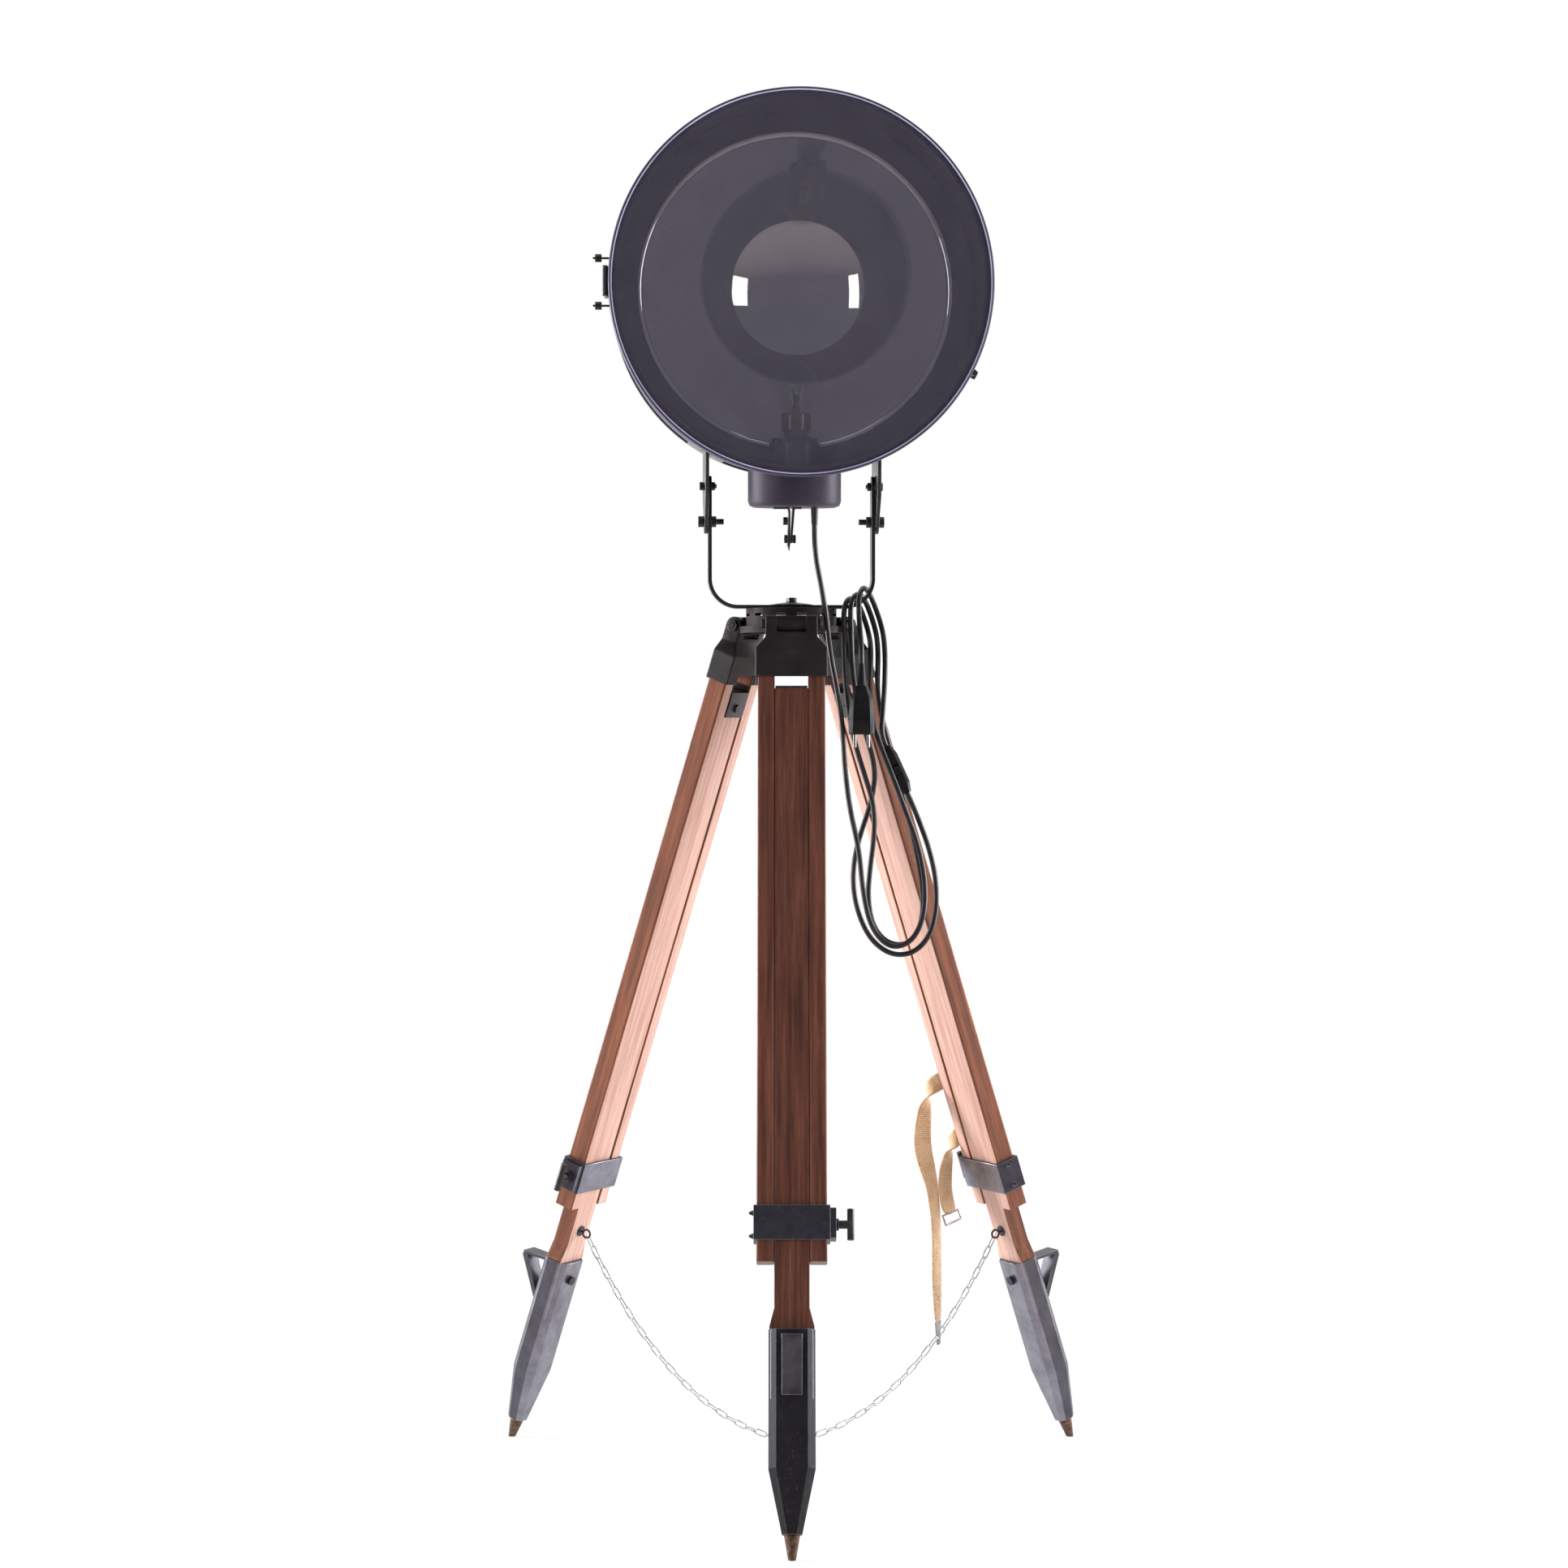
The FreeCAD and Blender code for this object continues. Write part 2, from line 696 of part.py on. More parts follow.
def drum():
    """Rolled drum with a stiffening bead and a hole for the lamp's stem."""
    r = drum_radius
    w = drum_wall
    bead = drum_front + bezel_depth + 22
    shell = round_y([(r, drum_front), (r, bead), (r + 3, bead + 3), (r + 3, bead + 7),
                     (r, bead + 10), (r, drum_back), (r - w, drum_back), (r - w, drum_front)])
    return [shell.cut(stem_way())]


def rear_cover():
    """Dished cover over the back of the drum: a shallow dome, a round knuckle and a skirt."""
    back = drum_back
    knuckle = dome_knuckle
    inner = drum_radius
    reach = inner - knuckle
    cap_radius = (reach ** 2 + dome_depth ** 2 - knuckle ** 2) / (2 * (dome_depth - knuckle))
    cap_y = back + dome_depth - cap_radius
    tilt = math.atan2(reach, back - cap_y)

    def bowl(grow):
        """Points from the middle of the dome, round the knuckle, to the skirt."""
        points = [(0, cap_y + cap_radius + grow)]
        for share in (1 / 3, 2 / 3, 1):
            turn = tilt * share
            points.append(((cap_radius + grow) * math.sin(turn),
                           cap_y + (cap_radius + grow) * math.cos(turn)))
        for share in (1 / 3, 2 / 3, 1):
            turn = tilt + (math.pi / 2 - tilt) * share
            points.append((reach + (knuckle + grow) * math.sin(turn),
                           back + (knuckle + grow) * math.cos(turn)))
        return points

    w = drum_wall
    rim = [(inner + w, back - skirt), (inner + fit_gap, back - skirt), (inner + fit_gap, back)]
    return [round_y(bowl(w) + rim + bowl(0)[::-1])]


def bezel_ring():
    """Hinged front ring: rolled rim, and the lip that holds the glass."""
    r = bezel_radius
    front = bezel_front
    back = front + bezel_depth
    inner = r - bezel_lip
    return [round_y([(inner - 1, front + 2), (inner, front), (r - 3, front), (r, front + 3),
                     (r, back - 3), (r - 2, back), (r - 4, back), (drum_radius + 2, back - 4),
                     (drum_radius + 2, front + 6 + glass_thickness), (inner - 1, front + 6)])]


def front_glass():
    y = bezel_front + 6 + side_clearance
    r = drum_radius + 2 - side_clearance
    return [rod((0, y, axis_height), (0, 1, 0), r, glass_thickness - side_clearance)]


def mirror():
    """Parabolic reflector with its turned-out rim."""
    vertex = mirror_rim + mirror_radius ** 2 / (4 * mirror_focus)

    def curve(offset):
        points = []
        for share in (0, 0.25, 0.45, 0.63, 0.82, 1):
            r = mirror_radius * share
            points.append((r, vertex - r * r / (4 * mirror_focus) + offset))
        return points

    return [round_y(curve(0) + curve(mirror_thickness)[::-1]).cut(stem_way())]


def mirror_seat():
    """Pressed ring that carries the mirror's rim on the drum's wall."""
    inside = drum_radius - drum_wall
    y = mirror_rim + mirror_thickness + 0.3
    r = mirror_radius
    ring = round_y([(r - 3, y + 4), (r + 0.5, y), (inside, y), (inside, y + 16), (inside - 2, y + 16),
                    (inside - 2, y + 2), (r + 1, y + 2), (r - 2.2, y + 5.7)])
    return ring.cut(stem_way())


def head_brackets():
    """Side plates that hang the drum on the yoke, with lock slots and riveted saddles."""
    found = []
    near = yoke_width / 2 + bracket_gap
    spread = math.radians(slot_half_angle)
    slot_r = lock_bolt_radius + 0.5
    drum_cylinder = drum_room()
    saddle_back = drum_back - skirt - 0.5
    skirt_room = rod((0, saddle_back, axis_height), (0, 1, 0), drum_radius + drum_wall + 0.3, 100)
    for side in (-1, 1):
        x = near if side > 0 else -near - bracket_thickness
        half_top = lock_radius * math.sin(spread) + 16
        top = tilt_height + lock_radius + 60
        eye = rod((x, 0, tilt_height), (1, 0, 0), bracket_eye, bracket_thickness)
        lean = bracket_eye * 0.94
        wing = extrude([(x, -lean, tilt_height - 5), (x, lean, tilt_height - 5),
                        (x, half_top, tilt_height + lock_radius * 0.75), (x, half_top, top),
                        (x, -half_top, top), (x, -half_top, tilt_height + lock_radius * 0.75)],
                       (bracket_thickness, 0, 0))
        plate = eye.fuse(wing).cut([drum_cylinder, skirt_room])
        plate = plate.cut(rod((x - 1, 0, tilt_height), (1, 0, 0),
                              tilt_bolt_radius + shaft_clearance, bracket_thickness + 2))
        band = rod((x - 1, 0, tilt_height), (1, 0, 0), lock_radius + slot_r, bracket_thickness + 2)
        band = band.cut(rod((x - 1, 0, tilt_height), (1, 0, 0), lock_radius - slot_r,
                            bracket_thickness + 2))
        far = 2 * lock_radius
        sector = extrude([(x - 1, 0, tilt_height),
                          (x - 1, -far * math.sin(spread), tilt_height + far * math.cos(spread)),
                          (x - 1, far * math.sin(spread), tilt_height + far * math.cos(spread))],
                         (bracket_thickness + 2, 0, 0))
        slot = band.common(sector)
        for end in (-1, 1):
            slot = slot.fuse(rod((x - 1, end * lock_radius * math.sin(spread),
                                  tilt_height + lock_radius * math.cos(spread)), (1, 0, 0),
                                 slot_r, bracket_thickness + 2))
        plate = plate.cut(slot)
        # the saddle is a strip of the drum's own curve, welded on top of the plate
        shell = rod((0, -saddle_length / 2, axis_height), (0, 1, 0),
                    drum_radius + weld_gap + saddle_thickness, saddle_length / 2 + saddle_back)
        shell = shell.cut(drum_cylinder)
        outside = near + bracket_thickness
        keep = block((min(side * (near - 22), side * (outside + 22)), -saddle_length, tilt_height),
                     (max(side * (near - 22), side * (outside + 22)), saddle_length, axis_height))
        saddle = shell.common(keep)
        found.append(plate.fuse(saddle).removeSplitter())
    return found


def socket_housing():
    """Deep cup under the drum, its upper edge cut to the drum's curve."""
    bottom = tilt_height + housing_bottom
    top = bottom + 80
    r = housing_radius
    k = housing_rounding
    w = housing_wall
    s = 1 - math.sqrt(0.5)
    points = [(0, bottom), (r - k, bottom), (r - k * s, bottom + k * s), (r, bottom + k), (r, top),
              (r - w, top), (r - w, bottom + k), (r - w - (k - w) * s, bottom + w + (k - w) * s),
              (r - k, bottom + w), (0, bottom + w)]
    cup = turned([(x, housing_centre, z) for x, z in points], (0, housing_centre, 0))
    cup = cup.cut(drum_room())
    hole = rod((gland_x, gland_y, bottom - 1), (0, 0, 1), cord_diameter / 2 + 1.5, w + 2)
    return [cup.cut(hole)]


def bulb_pedestal():
    """Stem that carries the lamp socket, standing on the floor of the housing."""
    low = tilt_height + housing_bottom + housing_wall
    high = tilt_height + bulb_centre + bulb_radius - glass_length - socket_height + 4
    stem = turned([(0, bulb_y, low), (pedestal_radius, bulb_y, low), (pedestal_radius, bulb_y, high - 6),
                   (pedestal_radius - 6, bulb_y, high), (0, bulb_y, high)], (0, bulb_y, 0))
    inside = rod((0, housing_centre, low - 1), (0, 0, 1), housing_radius - housing_rounding, 300)
    room = rod((gland_x, gland_y, low - 1), (0, 0, 1), cord_diameter / 2 + 5, 6)
    return [stem.common(inside).cut(room)]


def lamp_socket():
    """Porcelain lamp socket: a stepped body with a bored mouth that widens for the neck."""
    high = tilt_height + bulb_centre + bulb_radius - glass_length + 4
    low = high - socket_height
    r = socket_radius
    bore = cap_radius + 0.6
    mouth = bulb_neck + 0.6
    points = [(0, low), (r - 3, low), (r - 3, low + 8), (r, low + 10), (r, high - 2), (r - 2, high),
              (mouth, high), (mouth, high - 9), (bore, high - 11), (bore, low + 4), (0, low + 4)]
    return [turned([(x, bulb_y, z) for x, z in points], (0, bulb_y, 0))]


def bulb_glass():
    """Clear pear-shaped bulb, hollow, from its round crown to its neck."""
    centre = tilt_height + bulb_centre
    low = centre + bulb_radius - glass_length
    wall = 1.0

    def profile(inset):
        r = bulb_radius - inset
        neck = bulb_neck - inset
        points = [(r * math.cos(turn), centre + r * math.sin(turn))
                  for turn in map(math.radians, (90, 62, 34, 6, -20, -42))]
        points[0] = (0, centre + r)
        return points + [(neck + 1.0, low + 16), (neck, low)]

    outline = profile(0) + profile(wall)[::-1]
    return [turned([(x, bulb_y, z) for x, z in outline], (0, bulb_y, 0))]


def bulb_cap():
    """Screw cap of the bulb, with the glass stem and lead wires that carry the filament."""
    high = tilt_height + bulb_centre + bulb_radius - glass_length
    low = high - cap_length
    r = cap_radius
    points = [(0, bulb_y, low), (4.5, bulb_y, low), (8, bulb_y, low + 3), (r, bulb_y, low + 5),
              (r, bulb_y, high - 5), (bulb_neck, bulb_y, high), (0, bulb_y, high)]
    cap = turned(points, (0, bulb_y, 0))
    stem = Part.makeCone(6.0, 2.5, 30.0, Vector(0, bulb_y, high), Vector(0, 0, 1))
    return [cap.fuse(stem).removeSplitter()]


def cord_gland():
    """Tapered strain relief in the housing's floor; the cord leaves its narrow end."""
    bottom = tilt_height + housing_bottom
    neck = cord_diameter / 2 + 1.5
    tip = cord_diameter / 2 + 0.5
    flange = neck + 3
    inside = bottom + housing_wall
    points = [(0, inside + 3), (flange, inside + 3), (flange, inside), (neck, inside),
              (neck, bottom - 3), (tip, bottom - relief_length), (0, bottom - relief_length)]
    outline = [(gland_x + r, gland_y, z) for r, z in points]
    return [turned(outline, (gland_x, gland_y, 0))]


def clamp_hook():
    """Sprung cord clamp under the housing: two strips bolted together below a foot."""
    bottom = tilt_height + housing_bottom
    y = housing_centre - 8
    half = 8.0
    t = 2.4
    left = [(-30, 0), (-8, 0), (-6.5, -6), (-7, -52), (-8, -61), (-10.6, -52), (-9, -8), (-10, -t),
            (-30, -t)]
    right = [(-3.5, 0), (9, 0), (9, -t), (-0.5, -t), (-4.2, -50), (-6.8, -50)]
    found = []
    for outline in (left, right):
        found.append(extrude([(x, y - half, bottom + z) for x, z in outline], (0, 2 * half, 0)))
    low_bolt = rod((-15.0, y, bottom - 44), (1, 0, 0), 3.0, 14)
    low_bolt = low_bolt.fuse([hexagon((-14.6, y, bottom - 44), (1, 0, 0), 10.0, 4.0),
                              hexagon((-3.2, y, bottom - 44), (1, 0, 0), 10.0, 4.5)])
    for i in range(2):
        found[i] = found[i].cut(rod((-20, y, bottom - 44), (1, 0, 0), 3.05, 40))
    side_bolt = rod((-10.2, y, bottom - 19), (-1, 0, 0), 5.5, 6.0)
    return found + [low_bolt.removeSplitter(), side_bolt]


def bezel_hinge():
    """Hinge of the front ring on the drum's left: leaf, knuckle and pin."""
    y = bezel_front + bezel_depth / 2
    x = -bezel_radius - hinge_barrel_radius - side_clearance
    z = axis_height
    length = hinge_barrel_length
    barrel = rod((x, y, z - length / 2), (0, 0, 1), hinge_barrel_radius, length)
    leaf = block((x, y, z - length / 2), (x + hinge_barrel_radius, y + leaf_reach, z + length / 2))
    foot = block((x, y + 12, z - length / 2), (-drum_radius, y + leaf_reach, z + length / 2))
    clear = rod((0, y - 30, z), (0, 1, 0), bezel_radius + side_clearance, 30 + bezel_depth / 2 + 1)
    leaf = leaf.cut(clear)
    foot = foot.cut(drum_room()).cut(clear)
    return [barrel.fuse([leaf, foot]).removeSplitter()]


def bezel_studs():
    """Two threaded studs on the drum beside the hinge, each with a knurled nut."""
    found = []
    y = bezel_front + bezel_depth + 8
    for side in (-1, 1):
        z = side * stud_spacing
        start = -math.sqrt(drum_radius ** 2 - z ** 2)
        stud = rod((start + weld_gap, y, axis_height + z), (-1, 0, 0), stud_radius, stud_reach + 12)
        stud = stud.cut(drum_room())
        base = rod((start - 1, y, axis_height + z), (-1, 0, 0), stud_nut_radius, 2.0)
        nut = rod((start - stud_reach, y, axis_height + z), (-1, 0, 0), stud_nut_radius, 9.0)
        base = base.cut(drum_room())
        found.append(stud.fuse([base, nut]).removeSplitter())
    return found


def bezel_latch():
    """Turn catch at the lower right of the ring: a knob and the tongue over the rim."""
    y = bezel_front + bezel_depth + 9
    catch = rod((drum_radius + 0.3, y, axis_height), (1, 0, 0), 4.0, 13.0)
    knob = rod((bezel_radius + 1.0, y, axis_height), (1, 0, 0), 6.0, 7.0)
    tongue = block((bezel_radius + 0.5, bezel_front + 4, axis_height - 4),
                   (bezel_radius + 3.0, y, axis_height + 4))
    latch = catch.fuse([knob, tongue]).removeSplitter()
    latch.rotate(Vector(0, 0, axis_height), Vector(0, 1, 0), -latch_angle)
    return [latch]


# ---------------------------------------------------------------- mains cord
# The spare cord hangs as three long loops over the yoke's right corner. Its points are
# measured up from the leg pins; each bend is an arc that fills most of the runs beside it.

lamp_cord_route = [
    (32.2, -73.7, 138.1), (32.1, -72.5, 100), (41, -68, 57), (49, -63, 10), (54, -59, -40),
    (64, -57, -90), (72, -55, -145), (75, -54, -205), (82, -53, -260), (95, -52, -315),
    (100, -52, -375), (112, -52, -427), (139, -51, -455), (170, -50, -445), (187, -49, -408),
    (188, -47, -359), (178, -43, -308), (161, -40, -263), (146, -37, -222), (129, -31, -180),
    (114, -23, -136), (110, -17, -91), (113, -13, -42), (111, 31, -9), (93, 33, 41),
    (74, -19, 35), (74, -25, -15), (75, -27, -65), (79, -28, -113), (88, -30, -163),
    (104, -37, -215), (116, -39, -253), (117, -39, -293), (111, -39, -339), (107, -39, -383),
    (114, -39, -423), (134, -39, -448), (164, -38, -451), (183, -37, -423), (186, -35, -383),
    (180, -33, -337), (170, -28, -292), (161, -12, -257), (152, -4, -219), (140, -3, -175),
    (127, -8, -129), (121, -10, -87), (123, -9, -41), (121, 31, -5), (101, 34, 49),
    (83, -19, 38), (84, -23, -13), (86, -25, -63), (93, -26, -112), (107, -26, -160),
    (119, -26, -205), (113, -26, -250), (98, -26, -292), (88, -26, -332), (87, -26, -373),
    (96, -26, -412), (113, -26, -445), (140, -26, -465), (170, -26, -464), (194, -26, -442),
    (205, -26, -402), (204, -26, -357), (195, -25, -317), (183, -22, -283), (170.96, -20, -252.98),
    (163.5, -20, -236.6),
]
plug_cord_route = [
    (133.8, -20, -171.4), (126.34, -20, -155.02), (129, -19, -124), (132, -13, -85),
    (133, -7, -41), (130, 31, 0), (107, 37, 59.5), (94, -19, 44),
    (96, -36, -5), (98, -60, -31), (98, -60, -55),
]


def from_pins(route):
    return [(x, y, hinge_height + z) for x, y, z in route]


gland_low = tilt_height + housing_bottom - relief_length - cord_start_gap
gland_tip = tip_head(Part.Vertex(gland_x, gland_y, gland_low))
lamp_cord_route = [tuple(gland_tip.Point)] + from_pins(lamp_cord_route[1:])
plug_cord_route = from_pins(plug_cord_route)


def cord_path(points):
    """Runs and tangent arcs through the route's points, with the smallest bend radius."""
    corners = [Vector(*p) for p in points]
    edges = []
    radii = []
    start = corners[0]
    for before, corner, after in zip(corners, corners[1:], corners[2:]):
        back = before - corner
        ahead = after - corner
        cut_length = 0.45 * min(back.Length, ahead.Length)
        turn = math.pi - back.getAngle(ahead)
        radius = cut_length / math.tan(turn / 2)
        radii.append(radius)
        back.normalize()
        ahead.normalize()
        first = corner + back * cut_length
        last = corner + ahead * cut_length
        inward = back + ahead
        inward.normalize()
        middle = corner + inward * (radius / math.cos(turn / 2) - radius)
        edges.append(Part.LineSegment(start, first).toShape())
        edges.append(Part.Arc(first, middle, last).toShape())
        start = last
    edges.append(Part.LineSegment(start, corners[-1]).toShape())
    return Part.Wire(edges), min(radii)


def cord_tube(name, points):
    path, bend = cord_path(points)
    along = Vector(*points[1]) - Vector(*points[0])
    # the many-sided section has the area of the round cord
    turn = 2 * math.pi / cord_sides
    radius = cord_diameter / 2 * math.sqrt(turn / math.sin(turn))
    circle = Part.makeCircle(radius, Vector(*points[0]), along).Curve
    corners = [circle.value(turn * i) for i in range(cord_sides)]
    tube = path.makePipeShell([Part.makePolygon(corners + [corners[0]])], True, False)
    expected = math.pi * (cord_diameter / 2) ** 2 * path.Length
    print(name, "length %.0f mm, tightest bend %.1f mm, volume ratio %.4f"
          % (path.Length, bend, tube.Volume / expected))
    return tube, path


def least_gap(paths):
    """Least free distance between stretches of cord that don't follow on from each other."""
    best = 1e9
    place = None
    marks = []
    for number, path in enumerate(paths):
        count = int(path.Length / 3)
        for i, point in enumerate(path.discretize(count)):
            marks.append((number, i * 3.0, point))
    for i, (one, at, point) in enumerate(marks):
        for other, along, mark in marks[i + 1:]:
            if one == other and along - at < 8 * cord_diameter:
                continue
            if abs(point.z - mark.z) > best or abs(point.x - mark.x) > best:
                continue
            gap = point.distanceToPoint(mark)
            if gap < best:
                best = gap
                place = (round(point.x), round(point.y), round(point.z))
    print("closest near", place)
    return best - cord_diameter


def rounded_block(width, depth, corner, low, high, width_high, depth_high):
    """A block along Z, wide along X, with cropped corners; it may taper between its ends."""
    ratio = min(width_high / width, depth_high / depth)
    one = chamfered_section(depth, width, corner, low)
    other = chamfered_section(depth_high, width_high, corner * ratio, high)
    return Part.makeLoft([one, other], True, True)


plug_x, plug_y, plug_entry = plug_cord_route[-1]
plug_face = plug_entry - plug_length


def place_plug(shape):
    placed = shape.copy()
    placed.translate(Vector(plug_x, plug_y, plug_face))
    return placed


def plug_body():
    """Moulded plug hanging face down: face, groove, tapering grip and strain relief."""
    seam = 21.0
    width = plug_width
    depth = plug_depth
    face = rounded_block(width - 2, depth - 2, 5.0, 0, 2, width, depth)
    base = rounded_block(width, depth, 6.0, 2, seam, width, depth)
    groove = rounded_block(width - 3, depth - 3, 5.0, seam, seam + 1.5, width - 3, depth - 3)
    grip = rounded_block(width, depth, 6.0, seam + 1.5, 50, width * 0.86, depth * 0.86)
    shoulder = rounded_block(width * 0.86, depth * 0.86, 5.2, 50, 68, 17, 15)
    relief = Part.makeCone(6.6, cord_diameter / 2 + 0.5, plug_length - 68, Vector(0, 0, 68))
    body = face.fuse([base, groove, grip, shoulder, relief]).removeSplitter()
    for side in (-1, 1):
        hole = rod((side * plug_pin_spacing / 2, 0, -1), (0, 0, 1), pin_root_radius, 11)
        body = body.cut(hole)
    return [place_plug(body)]


def plug_pins():
    """Two round contact pins with thin roots, moulded into the plug's face."""
    pins = []
    for side in (-1, 1):
        x = side * plug_pin_spacing / 2
        r = plug_pin_radius
        outline = [(0, 10), (pin_root_radius, 10), (pin_root_radius, -pin_root_length),
                   (r, -pin_root_length), (r, pin_tip_break - plug_pin_length),
                   (r - pin_tip_break, -plug_pin_length), (0, -plug_pin_length)]
        pins.append(place_plug(turned([(x + across, 0, z) for across, z in outline], (x, 0, 0))))
    return pins


switch_low = Vector(*lamp_cord_route[-1])
switch_high = Vector(*plug_cord_route[0])
switch_axis = switch_high - switch_low
switch_length = switch_axis.Length


def place_switch(shape):
    placed = shape.copy()
    turn = Rotation(Vector(0, 1, 0), math.degrees(math.atan2(switch_axis.x, switch_axis.z)))
    placed.Placement = Placement(switch_low, turn)
    return placed


def switch_body():
    """Inline switch: two blunt ends, a flat middle and a well for the rocker."""
    w = switch_width
    d = switch_depth
    end = 14.0
    length = switch_length
    body = rounded_block(12, 11, 3.0, 0, end, w, d)
    body = body.fuse(rounded_block(w, d, 4.5, end, length - end, w, d))
    body = body.fuse(rounded_block(w, d, 4.5, length - end, length, 12, 11)).removeSplitter()
    middle = length / 2
    half = rocker_width / 2 + side_clearance
    well = rocker_radius + 0.5
    body = body.cut(block((-half, -d, middle - well), (half, rocker_depth - d / 2 + 5.0, middle + well)))
    pin_y = rocker_depth - d / 2
    pivot = rod((-half - 2, pin_y, middle), (1, 0, 0), 1.5, 2 * half + 4)
    return [place_switch(body.cut(pivot).fuse(pivot).removeSplitter())]


def switch_rocker():
    """Rocker on its pivot, pressed down at its lower end."""
    middle = switch_length / 2
    y = rocker_depth - switch_depth / 2
    half = rocker_width / 2
    drumlet = rod((-half, y, middle), (1, 0, 0), rocker_radius, rocker_width)
    r = rocker_radius
    keep = extrude([(-half, y + 3.2, middle - r), (-half, y + 3.2, middle + r),
                    (-half, y - r + 0.4, middle + r), (-half, y - r + 2.4, middle),
                    (-half, y - r + 0.4, middle - r)], (rocker_width, 0, 0))
    rocker = drumlet.common(keep)
    rocker = rocker.cut(rod((-half - 1, y, middle), (1, 0, 0), 1.5 + shaft_clearance,
                            rocker_width + 2))
    rocker.rotate(Vector(0, y, middle), Vector(1, 0, 0), -rocker_throw / 2)
    return [place_switch(rocker)]


# ---------------------------------------------------------------- strap
# A webbing strap is folded round the far side of the right leg: its long end hangs free
# and its short end carries the buckle. Each row is a middle point and a width direction
# in the leg's own frame.

strap_tail = [
    ((10.3, 48.1, 575.0), (0.000, -0.000, 1.001)),
    ((-13.2, 48.1, 574.6), (0.000, -0.000, 1.001)),
    ((-23.6, 54.3, 570.8), (0.234, 0.162, 0.924)),
    ((-33.2, 59.0, 561.4), (0.678, 0.265, 0.613)),
    ((-42.1, 60.1, 548.1), (0.905, 0.220, 0.111)),
    ((-55.7, 60.2, 521.2), (0.950, -0.040, -0.221)),
    ((-64.5, 60.8, 498.9), (0.903, -0.205, -0.311)),
    ((-69.2, 59.7, 478.9), (0.937, -0.183, -0.217)),
    ((-71.2, 57.3, 460.6), (0.950, -0.040, -0.221)),
    ((-73.4, 55.3, 431.7), (0.890, 0.311, -0.307)),
    ((-80.7, 53.8, 396.0), (0.846, 0.430, -0.291)),
    ((-91.3, 53.5, 357.5), (0.816, 0.495, -0.281)),
    ((-110.1, 53.5, 302.8), (0.828, 0.476, -0.285)),
    ((-122.4, 52.9, 263.8), (0.781, 0.551, -0.269)),
    ((-130.7, 52.5, 237.5), (0.758, 0.588, -0.261)),
]
strap_short = [
    ((10.1, 48.1, 486.7), (0.000, -0.000, 1.001)),
    ((-13.1, 48.1, 485.2), (0.000, -0.000, 1.001)),
    ((-20.0, 53.9, 477.5), (0.468, 0.192, 0.843)),
    ((-28.6, 57.5, 465.7), (0.888, 0.270, 0.329)),
    ((-41.4, 58.7, 443.9), (0.950, 0.212, -0.169)),
    ((-52.0, 57.6, 419.7), (0.925, 0.174, -0.318)),
    ((-57.3, 55.0, 396.3), (0.941, 0.174, -0.271)),
    ((-58.5, 51.6, 381.3), (0.925, 0.194, -0.213)),
]


def ribbon(rows, width, thickness, taper=1.0):
    """A flat band through the rows, its last section narrowed by the taper."""
    wires = []
    points = [Vector(*p) for p, _ in rows]
    for i, (_, across) in enumerate(rows):
        ahead = points[min(i + 1, len(rows) - 1)] - points[max(i - 1, 0)]
        if i < 2:
            ahead = points[1] - points[0]
        ahead.normalize()
        w = Vector(*across)
        w = w - ahead * w.dot(ahead)
        w.normalize()
        n = ahead.cross(w)
        half = width / 2 * (taper if i == len(rows) - 1 else 1.0)
        t = thickness / 2
        corners = [points[i] + w * half + n * t, points[i] - w * half + n * t,
                   points[i] - w * half - n * t, points[i] + w * half - n * t]
        wires.append(Part.makePolygon(corners + [corners[0]]))
    return Part.makeLoft(wires, True, True)


def strap():
    return [ribbon(strap_tail, strap_width, strap_thickness, 0.8),
            ribbon(strap_short, strap_width, strap_thickness)]


def strap_metal():
    """The buckle's rectangular frame on the short end, and the tag on the long end's tip."""
    low, across = strap_short[-1]
    before = strap_short[-2][0]
    end = Vector(*low)
    down = end - Vector(*before)
    down.normalize()
    w = Vector(*across)
    w = w - down * w.dot(down)
    w.normalize()
    wide = strap_width / 2 + buckle_wire + 0.5
    tall = buckle_height
    frame = [end + w * wide, end - w * wide, end - w * wide + down * tall, end + w * wide + down * tall]
    bars = []
    for start, stop in zip(frame, frame[1:] + frame[:1]):
        side = stop - start
        bar = Part.makeCylinder(buckle_wire / 2, side.Length, start, side)
        bars.append(bar)
        bars.append(Part.makeSphere(buckle_wire / 2, start))
    buckle = bars[0].fuse(bars[1:]).removeSplitter()
    buckle = buckle.cut(ribbon(strap_short, strap_width, strap_thickness))
    buckle = max(buckle.Solids, key=lambda piece: piece.Volume)
    tip, across = strap_tail[-1]
    before = Vector(*strap_tail[-2][0])
    along = Vector(*tip) - before
    along.normalize()
    tag_end = Vector(*tip) + along * tag_length
    rows = [(tip, across), (tuple(tag_end), across)]
    tag = ribbon(rows, strap_width * 0.8, strap_thickness, 0.45)
    return [buckle, tag]


# ---------------------------------------------------------------- write the parts

for name, azimuth in leg_azimuths.items():
    save("leg_head_" + name, [stand(leg_head(), azimuth)])
    save("rails_" + name, [stand(s, azimuth) for s in rails()])
    save("clamp_band_" + name, [stand(s, azimuth) for s in clamp_band()])
    save("clamp_screw_" + name, [stand(s, azimuth) for s in clamp_screw()])
    save("slide_" + name, [stand(s, azimuth) for s in slide()])
    save("shoe_" + name, [stand(s, azimuth) for s in shoe()])
    save("spike_" + name, [stand(spike(), azimuth).cut(floor_room())])
    save("step_" + name, [stand(s, azimuth) for s in step()])
    save("leg_fittings_" + name, [stand(s, azimuth) for s in leg_fittings()])
    save("chain_" + name, chain(azimuth))

